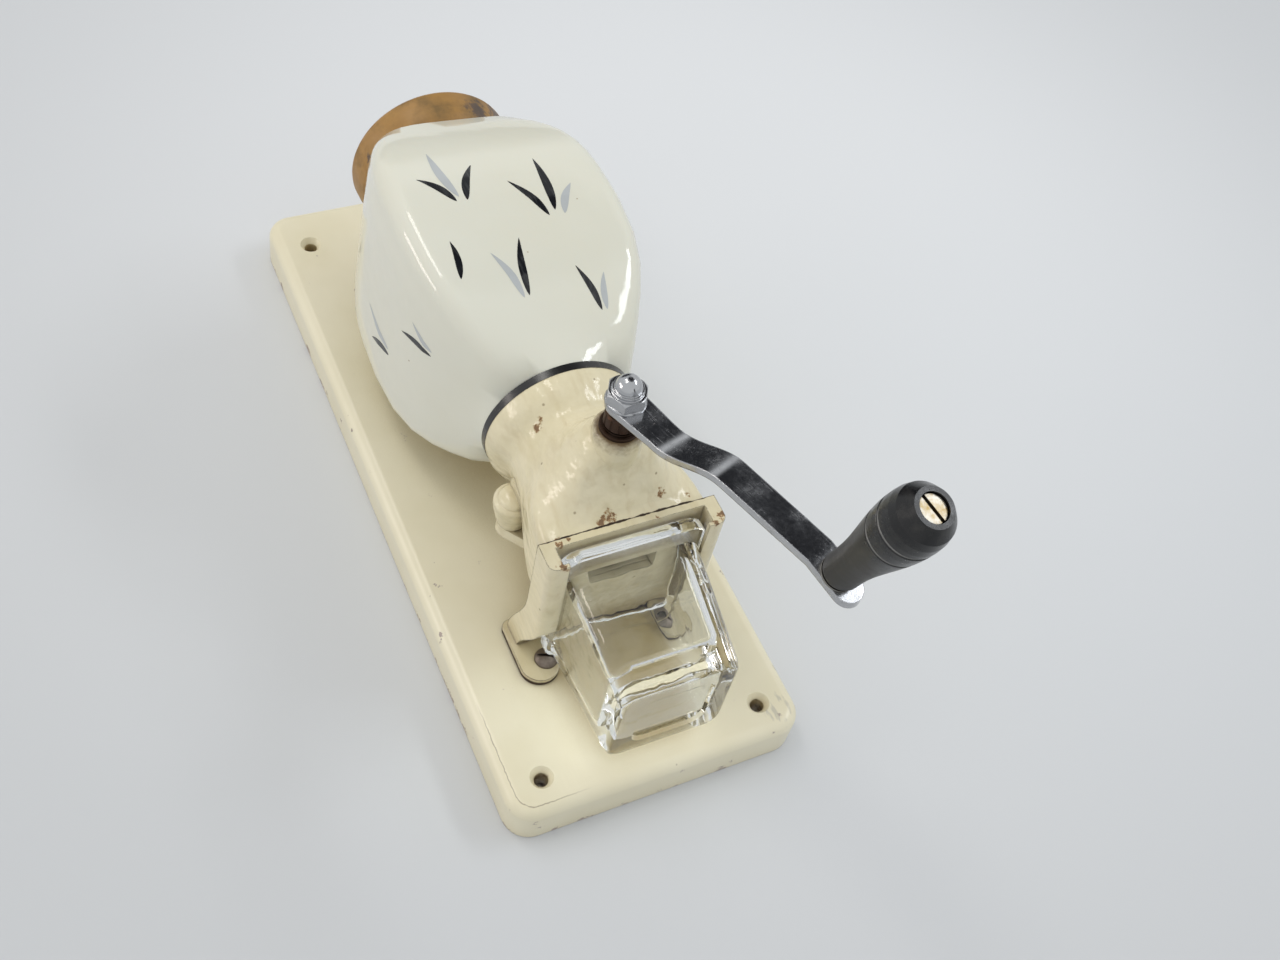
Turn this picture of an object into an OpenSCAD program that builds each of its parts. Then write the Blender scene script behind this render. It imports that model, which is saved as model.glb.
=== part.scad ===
// Wall mill for spices and coffee beans: a ceramic hopper on an enamelled casting, a crank, and a glass cup
// that slides into a carrier under the casting. Millimetres. X runs to the right, the room is towards -Y,
// Z is up. The wall is the plane y = 0, and the origin lies midway between the four wall screw holes.
// A depth in this file is a distance from the wall, so it counts along -Y.

/* [Backboard] */
// Width of the board
board_w = 115; // [100:1:140]
// Height of the board
board_h = 298; // [290:1:360]
// Thickness of the board
board_t = 18; // [14:0.5:22]
// Radius of the board's corners, seen from the front
board_corner_r = 10; // [7:0.5:18]
// Rounding of the board's front edge
board_edge_r = 5; // [2:0.5:6]
// Sideways distance between the wall screw holes
hole_dx = 86; // [70:1:96]
// Upright distance between the wall screw holes
hole_dz = 264; // [240:1:268]
// Distance from the lower holes to the board's lower edge
hole_low = 13; // [9:0.5:16]
// Diameter of the wall screw holes
hole_d = 5.2; // [4:0.1:6.4]

/* [Hopper] */
// Depth of the upright axis of hopper and casting
axis_d = 74; // [72:0.5:80]
// Half width of the hopper at its belly
belly_r = 44.5; // [40:0.1:48]
// Height of the hopper, foot to mouth
hopper_h = 120; // [100:1:150]
// How far the hopper's mouth stands further from the wall than its foot
hopper_lean = 3.9; // [0:0.1:6]
// Turn of the hopper on its foot, seen from above
hopper_turn = 4.5; // [0:0.5:8]
// Thickness of the hopper's wall
hopper_wall = 5; // [4:0.25:6.5]
// Squareness of the belly's section, 2 is round
belly_power = 8; // [4:0.5:10]
// Height of the raised bands along the hopper's upright corners
corner_band = 0.9; // [0.4:0.1:1.5]
// Radius of the hopper's mouth
mouth_r = 26; // [22:0.5:27]
// Radius of the lid
lid_r = 32.5; // [31:0.5:38]
// Thickness of the lid above the mouth
lid_t = 21; // [12:0.5:26]

/* [Casting] */
// Height of the casting's upper flange above the wall screw pattern's middle
flange_z = -28; // [-34:0.5:-20]
// Radius of the upper flange
flange_r = 28.8; // [27:0.1:31]
// Radius of the waist under the flange
waist_r = 24.4; // [23:0.1:26]
// Height of the casting, flange to base
casting_h = 55; // [50:0.5:64]
// Half width of the base
base_hw = 31; // [28:0.5:34]
// Depth of the base's front edge
base_front_d = 88.5; // [86:0.5:94]
// Depth of the nose that carries the shaft
nose_d = 117; // [112:0.5:121]
// Distance from the shaft's axis up to the flange
shaft_drop = 37; // [35:0.5:40]
// Sideways distance from the middle to each ear's screw
ear_x = 26; // [24:0.5:29]
// Height of the ears above the shaft
ear_up = 14; // [12:0.5:16]
// Radius of an ear
ear_r = 7.5; // [6.5:0.1:9]

/* [Grinding set] */
// Radius of the grinding chamber
chamber_r = 16.3; // [15:0.1:17]
// Length of the fixed burr ring
ring_len = 13; // [10:0.5:15]
// Number of teeth in the burr ring
ring_teeth = 20; // [14:1:28]
// Number of flutes on the turning burr
cone_flutes = 9; // [6:1:12]
// Radius of the shaft
shaft_r = 4; // [3.4:0.1:4.6]

/* [Crank] */
// Angle of the crank below the horizontal, as it hangs
crank_angle = 70; // [0:5:355]
// Distance from the shaft to the grip
crank_r = 88.5; // [76:0.5:110]
// Width of the crank's bar
bar_w = 11.4; // [10:0.1:13]
// Thickness of the crank's bar
bar_t = 2.8; // [2.2:0.1:3.4]
// Rise of the bar between hub and grip
bar_rise = 10; // [6:0.5:13]
// Lean of the grip, outward from the shaft's direction
grip_lean = 17; // [0:1:20]
// Length of the grip
grip_len = 54; // [42:0.5:64]
// Largest radius of the grip
grip_r = 10.3; // [9:0.1:13]

/* [Cup and carrier] */
// Thickness of the carrier's sheet
sheet_t = 3; // [2.5:0.1:3.5]
// Height of the groove that takes the cup's flange
groove_h = 6.8; // [5.8:0.1:8]
// Half width between the groove's side walls
groove_hw = 27.6; // [26.8:0.1:28.4]
// Thickness of the cup's flange
cup_flange_t = 5.2; // [4.2:0.1:5.4]
// Height of the cup, flange to bottom
cup_h = 49.5; // [40:0.5:54]
// Half width of the cup's body under the flange
cup_hw = 25; // [22:0.5:26]
// Thickness of the cup's walls
cup_wall = 3.8; // [3:0.1:5]
// Thickness of the cup's bottom
cup_floor = 11; // [7:0.5:14]

/* [Fits] */
// Radial clearance of the shaft in its bearings
run_gap = 0.06; // [0.02:0.01:0.1]
// Radial clearance of a screw or a bush in its hole
seat_gap = 0.03; // [0.02:0.01:0.1]
// Clearance between pieces that slide or lift away
slide_gap = 0.4; // [0.3:0.05:0.8]

/* [Hidden] */
$fn = 64;

// Heights
shaft_z = flange_z - shaft_drop;
base_z = flange_z - casting_h;
ear_z = shaft_z + ear_up;
gasket_t = 3;
strap_t = 2.5;
foot_z = flange_z + gasket_t;
mouth_z = foot_z + hopper_h;
board_low_z = -hole_dz / 2 - hole_low;

// Depths of the casting and its grinding chamber
rear_d = axis_d - 18;
cover_t = 5;
cover_back_d = rear_d - cover_t;
ear_front_d = rear_d + 13;
ring_back_d = rear_d + 6;
chamber_step_d = 83;
chamber_front_d = 92;
hub_bore_r = 10.5;
chute_back_d = rear_d + 1;
chute_front_d = rear_d + 12;
chute_hw = 13;
bush_r = 5.6;
bush_flange_r = 6.8;
bush_flange_t = 1.6;
nose_r = 8.8;

// Screws and rivets
ear_screw_r = 2.4;
cover_ear_r = 5.5;
ear_screw_depth = 10;
upper_screw_r = 3;
upper_screw_z = ear_z + 2;
upper_head_r = 5.8;
upper_head_d = 4.6;
sink_t = 2.4;
pillar_r = 9;
foot_screw_r = 2;
foot_head_r = 4.3;
foot_x = groove_hw - 2.8;
foot_z_mid = base_z - sheet_t - foot_head_r - 0.4;
tab_r = 7.3;
tab_top_z = base_z + 12;
tab_front_d = board_t + sheet_t;
rivet_r = 2;
rivet_x = 22;
rivet_d = axis_d - 6;
bolt_r = 3;

// Crank: d is the depth of the bar's wall side
bush_front_d = nose_d + bush_flange_t;
thrust_t = 0.8;
collar_t = 6;
collar_r = 5.8;
collar_front_d = bush_front_d + thrust_t + collar_t + 3 * run_gap;
bar_d = collar_front_d + 2.6;
hub_r = 6.5;
stud_r = 3;
washer_t = 0.8;
nut_af = 12.5;
nut_h = 4.4;
dome_r = 4.5;
spindle_r = 2.3;
spindle_head_r = 4.4;
grip_washer_t = 0.8;

// Cup: heights of flange and bottom, depths of its back and front
groove_z = base_z - sheet_t;
lip_z = groove_z - groove_h;
lip_t = 1.6;
lip_in = 2;
wall_t = 5.1;
arm_hw = groove_hw + wall_t;
arm_low_z = lip_z - lip_t;
arm_foot_z = base_z + 1.7;
cup_flange_z = lip_z + slide_gap;
cup_bottom_z = cup_flange_z + cup_flange_t - cup_h;
cup_flange_hw = groove_hw - slide_gap - 0.2;
cup_flange_back_d = tab_front_d + 3;
cup_flange_front_d = base_front_d - 2;
cup_back_d = cup_flange_back_d + 1.5;
cup_front_d = cup_flange_front_d - 8;
cup_draft = 10;

// Points and curves
function mix(a, b, t) = a + (b - a) * t;
function clamp01(t) = min(1, max(0, t));
function ease(t) = pow(clamp01(t), 2) * (3 - 2 * clamp01(t));
function bezier(p, t) = let (s = 1 - t)
    p[0] * s * s * s + p[1] * 3 * s * s * t + p[2] * 3 * s * t * t + p[3] * t * t * t;
function signed_power(v, e) = sign(v) * pow(abs(v), e);

// Angles of a section's points in one quarter, closer together at the corner
quarter = [0, 10, 20, 28, 34, 38.5, 40.5, 42.5, 45, 47.5, 49.5, 51.5, 56, 62, 70, 80];
section_angles = [for (q = [0:3]) for (a = quarter) q * 90 + a];

// Section of the hopper: a square of half width a with a given power and a raised band at each corner
function hopper_point(a, power, band, t) = let (
        reach = a * pow(pow(abs(cos(t)), power) + pow(abs(sin(t)), power), -1 / power),
        off = abs((t % 90) - 45),
        r = reach + band * ease((6 - off) / 2.5)
    ) [r * cos(t), r * sin(t)];
function hopper_ring(a, power, band, z) = let (lean = hopper_lean * (z - foot_z) / hopper_h)
    [for (t = section_angles) concat(hopper_point(a, power, band, t) - lean * lean_way, [z])];
lean_way = [sin(hopper_turn), cos(hopper_turn)];

// Rounded rectangle between depths d0 and d1, half width w and corner radius r
function slab_ring(w, d0, d1, r, z, steps = 5) = [
    for (q = [0:3]) for (i = [0:steps - 1])
        let (
            a = q * 90 + i * 90 / (steps - 1),
            cx = (q == 0 || q == 3 ? 1 : -1) * (w - r),
            cy = (q < 2 ? -d0 - r : -d1 + r)
        ) [cx + r * cos(a), cy + r * sin(a), z]
];

// Skin between neighbouring rings of the same number of points, rings listed from below to above
function skin(rings, closed) = let (m = len(rings), n = len(rings[0])) [
    for (i = [0:m - (closed ? 1 : 2)]) for (j = [0:n - 1]) for (k = [0:1])
        let (
            a = i * n + j,
            b = i * n + (j + 1) % n,
            c = ((i + 1) % m) * n + j,
            e = ((i + 1) % m) * n + (j + 1) % n
        )
            k == 0 ? [a, c, b] : [b, c, e]
];

// Solid through a stack of rings, closed by its first and last ring
module loft(rings) {
    n = len(rings[0]);
    m = len(rings);
    polyhedron(
        points = [for (ring = rings) for (p = ring) p],
        faces = concat(
            skin(rings, false), [[for (j = [0:n - 1]) j]], [[for (j = [n - 1:-1:0]) (m - 1) * n + j]]
        )
    );
}

// Solid whose rings run up the outside, over the rim, down the inside and back to the first ring
module hollow_loft(rings) {
    polyhedron(points = [for (ring = rings) for (p = ring) p], faces = skin(rings, true));
}

// Round bar along the depth, from depth d0 to depth d1
module rod(r, d0, d1, x = 0, z = 0) {
    translate([x, -d0, z]) rotate([90, 0, 0]) cylinder(r = r, h = d1 - d0);
}

// Turned piece whose axis runs along the depth: profile points are [radius, depth]
module turned(profile, x = 0, z = 0) {
    translate([x, 0, z]) rotate([90, 0, 0]) rotate_extrude() polygon(profile);
}

// Block between two corners given as x, depth and z
module block(x0, x1, d0, d1, z0, z1) {
    translate([x0, -d1, z0]) cube([x1 - x0, d1 - d0, z1 - z0]);
}

// One rounded corner of the board, standing on the wall plane
module board_corner() {
    rotate_extrude($fn = 32) union() {
        square([board_corner_r, board_t - board_edge_r]);
        square([board_corner_r - board_edge_r, board_t]);
        translate([board_corner_r - board_edge_r, board_t - board_edge_r]) intersection() {
            circle(r = board_edge_r);
            square(board_edge_r);
        }
    }
}

module backboard() {
    cx = board_w / 2 - board_corner_r;
    low = board_low_z + board_corner_r;
    high = board_low_z + board_h - board_corner_r;
    color("ivory") difference() {
        hull() {
            for (x = [-cx, cx]) for (z = [low, high]) translate([x, 0, z]) rotate([90, 0, 0]) board_corner();
        }
        for (x = [-hole_dx / 2, hole_dx / 2]) for (z = [-hole_dz / 2, hole_dz / 2]) {
            rod(hole_d / 2, -1, board_t + 1, x, z);
            turned([[0, board_t - sink_t], [hole_d / 2, board_t - sink_t], [hole_d / 2 + 2, board_t + 0.4],
                [0, board_t + 0.4]], x, z);
        }
        for (x = [-foot_x, foot_x]) rod(foot_screw_r + seat_gap, board_t - 12, board_t + 1, x, foot_z_mid);
        rod(upper_screw_r + seat_gap, -1, board_t + 1, 0, upper_screw_z);
        rod(upper_head_r + 0.8, -1, upper_head_d, 0, upper_screw_z);
    }
}

// Casting: half width, front reach and rear reach of the section at a height
casting_zs = [
    0, 0.07, 0.13, 0.17, 0.22, 0.27, 0.34, 0.41, 0.48, 0.55, 0.62, 0.67, 0.73, 0.79, 0.86, 0.94, 1
];
function flange_part(t) = ease((0.24 - t) / 0.17);
function flare_part(t) = ease((t - 0.24) / 0.76);
function casting_hw(t) = mix(mix(waist_r, base_hw, flare_part(t)), flange_r, flange_part(t));
function casting_front(t) =
    mix(mix(waist_r, base_front_d - axis_d, flare_part(t)), flange_r, flange_part(t));
function casting_rear(t) = mix(mix(waist_r, 22, flare_part(t)), flange_r, flange_part(t));
function casting_power(t) = mix(2, 7, ease((t - 0.45) / 0.55));
function nose_reach(x, t) = let (
        z = flange_z - t * casting_h,
        full = nose_d - 1.5 - axis_d - casting_front(shaft_drop / casting_h)
    ) full * exp(-pow(abs(x) / 17, 2.7) - pow(abs(z - shaft_z) / 14, 2.7)) * ease((1 - t) / 0.2);
function casting_point(t, a) = let (
        e = 2 / casting_power(t),
        x = casting_hw(t) * signed_power(cos(a), e),
        front = casting_front(t) * signed_power(max(0, -sin(a)), e),
        rear = casting_rear(t) * signed_power(max(0, sin(a)), e),
        nose = nose_reach(x, t) * ease(-sin(a) / 0.5)
    ) [x, -axis_d - front - nose + rear, flange_z - t * casting_h];
function casting_ring(t) = [for (a = [0:5:355]) casting_point(t, a)];

module ear(x) {
    turned([[0, rear_d], [cover_ear_r, rear_d], [ear_r, ear_front_d - 4], [ear_r, ear_front_d - 1.2],
        [ear_r - 1.2, ear_front_d], [0, ear_front_d]], x, ear_z);
    turned([[0, ear_front_d - 1], [5.8, ear_front_d - 1], [5.8, ear_front_d], [5.2, ear_front_d + 1.1],
        [3.8, ear_front_d + 2], [2, ear_front_d + 2.5], [0, ear_front_d + 2.6]], x, ear_z);
}

module housing() {
    color("cornsilk") difference() {
        union() {
            difference() {
                loft([for (i = [len(casting_zs) - 1:-1:0]) casting_ring(casting_zs[i])]);
                translate([0, -axis_d, flange_z - 20]) cylinder(r1 = 12, r2 = 20.5, h = 20.1);
            }
            ear(-ear_x);
            ear(ear_x);
            block(-ear_x, ear_x, rear_d, axis_d, ear_z - 5, ear_z + 5);
            turned([[0, chamber_front_d], [nose_r, chamber_front_d], [nose_r, nose_d - 1.2],
                [nose_r - 0.5, nose_d - 0.3], [nose_r - 1.4, nose_d], [0, nose_d]], 0, shaft_z);
            block(-22, 22, axis_d - 6, axis_d + 6, flange_z - 12, flange_z - 7);
        }
        block(-60, 60, 20, rear_d, base_z - 10, flange_z - 9);
        rod(chamber_r, rear_d - 1, chamber_step_d, 0, shaft_z);
        rod(hub_bore_r, chamber_step_d - 1, chamber_front_d, 0, shaft_z);
        rod(bush_r + seat_gap, chamber_front_d - 1, nose_d + 1, 0, shaft_z);
        translate([0, -axis_d - 4, shaft_z]) cylinder(r = 11, h = shaft_drop - 12.5);
        block(-chute_hw, chute_hw, chute_back_d, chute_front_d, base_z - 1, shaft_z);
        translate([0, -axis_d, flange_z - 20]) cylinder(r = bolt_r + seat_gap, h = 21);
        for (x = [-ear_x, ear_x]) rod(ear_screw_r + seat_gap, rear_d - 1, rear_d + ear_screw_depth, x, ear_z);
        for (x = [-rivet_x, rivet_x])
            translate([x, -rivet_d, base_z - 1]) cylinder(r = rivet_r + seat_gap, h = 7);
    }
}

// Plate behind the chamber with the shaft's rear bearing and the pillar that stands on the board
module rear_cover() {
    color("cornsilk") difference() {
        union() {
            translate([0, -cover_back_d, 0]) rotate([90, 0, 0]) linear_extrude(cover_t) hull() {
                for (x = [-ear_x, ear_x]) translate([x, ear_z]) circle(r = cover_ear_r, $fn = 32);
                translate([0, shaft_z]) circle(r = chamber_r + 1.2, $fn = 48);
            }
            rod(8, cover_back_d - 4, cover_back_d + 1, 0, shaft_z);
            rod(pillar_r, board_t, cover_back_d + 1, 0, upper_screw_z);
        }
        rod(shaft_r + run_gap, cover_back_d - 1, rear_d + 1, 0, shaft_z);
        rod(upper_screw_r + seat_gap, board_t - 1, board_t + 19, 0, upper_screw_z);
        for (x = [-ear_x, ear_x]) rod(ear_screw_r + seat_gap, cover_back_d - 1, rear_d + 1, x, ear_z);
    }
}

// Height of an arm's upper and lower edge at a depth: it rises towards its tab on the board
arm_rise_d = rear_d - 1;
function arm_top(d) = mix(base_z, tab_top_z - 1.5, ease((arm_rise_d - d) / 36));
function arm_low(d) = mix(arm_low_z, arm_foot_z, ease((50 - d) / 32));

// Carrier: roof with the chute's opening, and on each side an arm with the cup's groove and a screwed tab
module cup_carrier() {
    color("cornsilk") difference() {
        union() {
            translate([-arm_hw + 1, 0, 0]) rotate([90, 0, 90]) linear_extrude(2 * arm_hw - 2) polygon([
                [-base_front_d, base_z], [-base_front_d, groove_z], [-54, groove_z], [-board_t, arm_foot_z + 0.3],
                [-board_t, arm_foot_z + sheet_t], [-52, base_z]
            ]);
            for (s = [-1, 1]) {
                carrier_arm(s);
                carrier_tab(s);
            }
        }
        block(-chute_hw, chute_hw, chute_back_d, chute_front_d, groove_z - 1, base_z + 1);
        for (x = [-foot_x, foot_x]) rod(foot_screw_r + seat_gap, board_t - 1, tab_front_d + 1, x, foot_z_mid);
        for (x = [-rivet_x, rivet_x])
            translate([x, -rivet_d, groove_z - 1]) cylinder(r = rivet_r + seat_gap, h = sheet_t + 2);
    }
}

// Arm: section with a rounded bend and an in-turned lip, cut to the arm's outline as seen from the side
module carrier_arm(s) {
    bend = 3.2;
    depths = concat([for (d = [board_t:4:arm_rise_d - 1]) d], [arm_rise_d]);
    section = concat(
        [[groove_hw, tab_top_z], [groove_hw, lip_z], [groove_hw - lip_in, lip_z],
            [groove_hw - lip_in, arm_low_z]],
        [for (a = [-90:15:0]) [arm_hw - bend + bend * cos(a), arm_low_z + bend + bend * sin(a)]],
        [[arm_hw, tab_top_z]]
    );
    last = len(section) - 1;
    intersection() {
        translate([0, -board_t, 0]) rotate([90, 0, 0]) linear_extrude(base_front_d - board_t)
            polygon(s > 0 ? section : [for (i = [0:last]) [-section[last - i][0], section[last - i][1]]]);
        translate([-60, 0, 0]) rotate([90, 0, 90]) linear_extrude(120) polygon(concat(
            [for (d = depths) [-d, arm_top(d)]],
            [[-base_front_d, base_z], [-base_front_d, arm_low_z]],
            [for (i = [len(depths) - 1:-1:0]) [-depths[i], arm_low(depths[i])]]
        ));
    }
}

module carrier_tab(s) {
    x = s * (arm_hw - tab_r + 2.3);
    rod(tab_r, board_t, tab_front_d, x, foot_z_mid - 1);
    block(x - tab_r, x + tab_r, board_t, tab_front_d, foot_z_mid - 1, tab_top_z - 3);
    block(x - tab_r + 3, x + tab_r - 3, board_t, tab_front_d, foot_z_mid - 1, tab_top_z);
    for (side = [-1, 1]) rod(3, board_t, tab_front_d, x + side * (tab_r - 3), tab_top_z - 3);
}

// Hopper: half width of the outside and the inside at a share of the height
function outer_curve(u) = u < 0.5
    ? bezier([[flange_r - 0.3, 0], [belly_r * 0.69, 0.14], [belly_r * 1.06, 0.21], [belly_r, 0.6]], u * 2)
    : bezier([[belly_r, 0.6], [belly_r * 0.992, 0.81], [belly_r * 0.89, 0.85], [top_r, 0.99]], u * 2 - 1);
function inner_curve(u) = u < 0.5
    ? bezier([[flange_r - 8, foot_floor], [belly_r * 0.62, 0.15], [belly_r * 1.05 - hopper_wall, 0.23],
        [belly_r - hopper_wall, 0.6]], u * 2)
    : bezier([[belly_r - hopper_wall, 0.6], [belly_r * 0.99 - hopper_wall, 0.8],
        [belly_r * 0.87 - hopper_wall, 0.86], [mouth_r, 0.95]], u * 2 - 1);
top_r = belly_r * 0.734;
foot_floor = 5.5 / hopper_h;
function belly_share(h) = ease(h / 0.11);
function outer_power(h) = 2 + (belly_power - 2) * belly_share(h) * mix(0.445, 1, ease((1 - h) / 0.08));
function inner_power(h) = 2 + (belly_power - 2) * 0.55 * ease((h - 0.04) / 0.14) * ease((0.94 - h) / 0.1);

module hopper() {
    outside = [for (i = [0:13]) let (p = outer_curve(i / 13), h = p[1])
        hopper_ring(p[0], outer_power(h), corner_band * ease((h - 0.1) / 0.15) * ease((0.97 - h) / 0.12),
            foot_z + h * hopper_h)];
    rim = [
        hopper_ring(mix(top_r, mouth_r, 0.35), 2.9, 0, mouth_z - 0.4),
        hopper_ring(mix(top_r, mouth_r, 0.6), 2.4, 0, mouth_z),
        hopper_ring(mouth_r + 1.2, 2, 0, mouth_z),
        hopper_ring(mouth_r, 2, 0, mouth_z - 1.4)
    ];
    inside = [for (i = [11:-1:0]) let (p = inner_curve(i / 11), h = p[1])
        hopper_ring(p[0], inner_power(h), 0, foot_z + h * hopper_h)];
    foot = [hopper_ring(15, 2, 0, foot_z + hopper_h * foot_floor), hopper_ring(15, 2, 0, foot_z)];
    color("floralwhite") translate([0, -axis_d, 0]) rotate([0, 0, hopper_turn])
        hollow_loft(concat(outside, rim, inside, foot));
}

module foot_gasket() {
    color("#1c1c1e") translate([0, -axis_d, flange_z]) difference() {
        cylinder(r = flange_r + 0.1, h = gasket_t);
        translate([0, 0, -1]) cylinder(r = 17, h = gasket_t + 2);
    }
}

// Flat bar across the hopper's foot and the bolt that draws it down on the casting
module hopper_strap() {
    color("gray") translate([0, -axis_d, foot_z + hopper_h * foot_floor]) difference() {
        union() {
            translate([-13, -6, 0]) cube([26, 12, strap_t]);
            for (s = [-1, 1]) translate([s * 13, 0, 0]) cylinder(r = 6, h = strap_t);
        }
        translate([0, 0, -1]) cylinder(r = bolt_r + seat_gap, h = 5);
    }
}

module hopper_bolt() {
    seat = foot_z + hopper_h * foot_floor + strap_t;
    color("silver") translate([0, -axis_d, 0]) {
        translate([0, 0, flange_z - 14]) cylinder(r = bolt_r, h = seat - flange_z + 14.5);
        translate([0, 0, seat]) cylinder(d = 11.5, h = 4, $fn = 6);
    }
}

// Lid: its widest ring lies at this share of its height
lid_wide = 0.65;

module lid() {
    low = mouth_z + slide_gap;
    plug = mouth_r - slide_gap - 0.5;
    color("#8a6228") translate([0, -axis_d - hopper_lean, low]) rotate_extrude() polygon(concat(
        [[0, 1], [plug - 4, 1], [plug - 4, -8], [plug - 0.8, -8], [plug, -7], [plug, 0], [lid_r - 4, 0]],
        [for (a = [-75:15:0]) [lid_r - 4 + 4 * cos(a), lid_t * lid_wide * (1 + sin(a))]],
        [for (a = [9:9:90]) [lid_r * pow(cos(a), 0.55), lid_t * mix(lid_wide, 1, pow(sin(a), 1.1))]]
    ));
}

module front_bush() {
    color("#4a3a2c") difference() {
        union() {
            rod(bush_r, chamber_front_d + 1, nose_d + 0.5, 0, shaft_z);
            rod(bush_flange_r, nose_d, bush_front_d, 0, shaft_z);
        }
        rod(shaft_r + run_gap, chamber_front_d, bush_front_d + 1, 0, shaft_z);
    }
}

// Toothed section: tip and root radii, number of teeth, four points a tooth
function tooth_ring(tip, root, teeth, d, turn) = [
    for (i = [0:teeth - 1]) for (k = [0:3])
        let (r = k == 0 || k == 1 ? tip : root, a = 360 / teeth * (i + [0, 0.22, 0.5, 0.8][k]) + turn)
            [r * cos(a), r * sin(a), d]
];
ring_front_r = 9.4;
ring_back_r = 12.6;

module burr_ring() {
    color("#5d5f62") difference() {
        rod(chamber_r - seat_gap, ring_back_d, ring_back_d + ring_len, 0, shaft_z);
        translate([0, -ring_back_d + 1, shaft_z]) rotate([90, 0, 0]) loft([
            for (u = [0, 1]) let (root = mix(ring_back_r, ring_front_r, u))
                tooth_ring(root + 1.3, root, ring_teeth, u * (ring_len + 2), u * 8)
        ]);
    }
}

// Turning burr: a fluted cone that fits the ring, with coarse feeding flutes towards the front
cone_back_d = ring_back_d - 1.5;
cone_len = 29;
cone_hub = 7;
cone_hub_r = ring_front_r - 1.6;
cone_pin_d = cone_back_d + cone_len - cone_hub / 2;
function cone_tip(u) = u < 0.5 ? mix(ring_back_r - 0.5, ring_front_r - 2.2, u * 2) : ring_front_r - 2.2;
function cone_root(u) = u < 0.1 ? cone_tip(u) - 0.8 : cone_tip(u) - mix(0.9, 1.7, u);

module burr_cone() {
    color("#5d5f62") difference() {
        union() {
            translate([0, -cone_back_d, shaft_z]) rotate([90, 0, 0]) loft([
                for (u = [0:0.125:1])
                    tooth_ring(cone_tip(u), cone_root(u), cone_flutes, u * (cone_len - cone_hub + 1), u * 60)
            ]);
            rod(cone_hub_r, cone_back_d + cone_len - cone_hub, cone_back_d + cone_len, 0, shaft_z);
        }
        rod(shaft_r + seat_gap, cone_back_d - 1, cone_back_d + cone_len + 1, 0, shaft_z);
        translate([0, -cone_pin_d, shaft_z - 12]) cylinder(r = 1.5 + seat_gap, h = 24);
    }
}

module burr_pin() {
    pin_r = cone_hub_r - 0.4;
    color("silver") translate([0, -cone_pin_d, shaft_z - pin_r]) cylinder(r = 1.5, h = 2 * pin_r);
}

module shaft() {
    color("gray") difference() {
        union() {
            rod(shaft_r, cover_back_d + 0.3, bar_d, 0, shaft_z);
            rod(stud_r, bar_d - 0.5, bar_d + bar_t + washer_t + nut_h - 0.5, 0, shaft_z);
        }
        translate([0, -cone_pin_d, shaft_z - 12]) cylinder(r = 1.5 + seat_gap, h = 24);
    }
}

module thrust_washer() {
    color("#6b5a3a") difference() {
        rod(collar_r, bush_front_d + run_gap, bush_front_d + run_gap + thrust_t, 0, shaft_z);
        rod(shaft_r + seat_gap, bush_front_d - 1, bush_front_d + thrust_t + 1, 0, shaft_z);
    }
}

// Round nut on the shaft that draws the burrs together
module adjusting_collar() {
    d0 = bush_front_d + 2 * run_gap + thrust_t;
    color("#3a2c22") difference() {
        turned([[shaft_r + seat_gap, d0], [collar_r - 0.6, d0], [collar_r, d0 + 0.6],
            [collar_r, d0 + collar_t - 0.8], [collar_r - 0.7, d0 + collar_t],
            [shaft_r + seat_gap, d0 + collar_t]], 0, shaft_z);
        for (a = [0:30:330]) translate([0, 0, shaft_z]) rotate([0, a, 0])
            rod(0.5, d0 - 1, d0 + collar_t + 1, collar_r + 0.2, 0);
    }
}

// Bar of the crank: rise over the bar's length, counted from the hub
end_start = crank_r - 7.5;
tip_r = hub_r - 1;
bar_end = crank_r + 10.5;
function bar_height(r) = bar_rise * ease((r - 19) / 26) - tan(grip_lean) * max(0, r - end_start);
bar_stations = concat([-hub_r, 0, 12], [for (r = [19:2.6:45]) r], [end_start, bar_end]);

// Places its children at the hub, x along the bar and z away from the wall
module at_hub() {
    translate([0, -bar_d, shaft_z]) rotate([0, crank_angle, 0]) rotate([90, 0, 0]) children();
}

// Places its children on the bar's front face at the grip, z along the grip's own axis
module at_grip() {
    at_hub() translate([crank_r, 0, bar_height(crank_r)]) rotate([0, grip_lean, 0]) children();
}

module crank_arm() {
    color("lightgray") difference() {
        intersection() {
            at_hub() rotate([90, 0, 0]) translate([0, 0, -10]) linear_extrude(20) polygon(concat(
                [for (r = bar_stations) [r, bar_height(r)]],
                [for (i = [len(bar_stations) - 1:-1:0]) let (r = bar_stations[i]) [r, bar_height(r) + bar_t]]
            ));
            at_hub() translate([0, 0, -20]) linear_extrude(60) union() {
                circle(r = hub_r);
                translate([bar_end - tip_r, 0]) circle(r = tip_r);
                polygon([[0, -hub_r], [16, -bar_w / 2], [bar_end - tip_r, -tip_r], [bar_end - tip_r, tip_r],
                    [16, bar_w / 2], [0, hub_r]]);
            }
        }
        rod(stud_r + seat_gap, bar_d - 5, bar_d + 10, 0, shaft_z);
        at_grip() translate([0, 0, -10]) cylinder(r = spindle_r + seat_gap, h = 20);
    }
}

module hub_washer() {
    color("lightgray") difference() {
        turned([[0, bar_d + bar_t], [7, bar_d + bar_t], [6.6, bar_d + bar_t + washer_t],
            [0, bar_d + bar_t + washer_t]], 0, shaft_z);
        rod(stud_r + seat_gap, bar_d, bar_d + bar_t + washer_t + 1, 0, shaft_z);
    }
}

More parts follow.
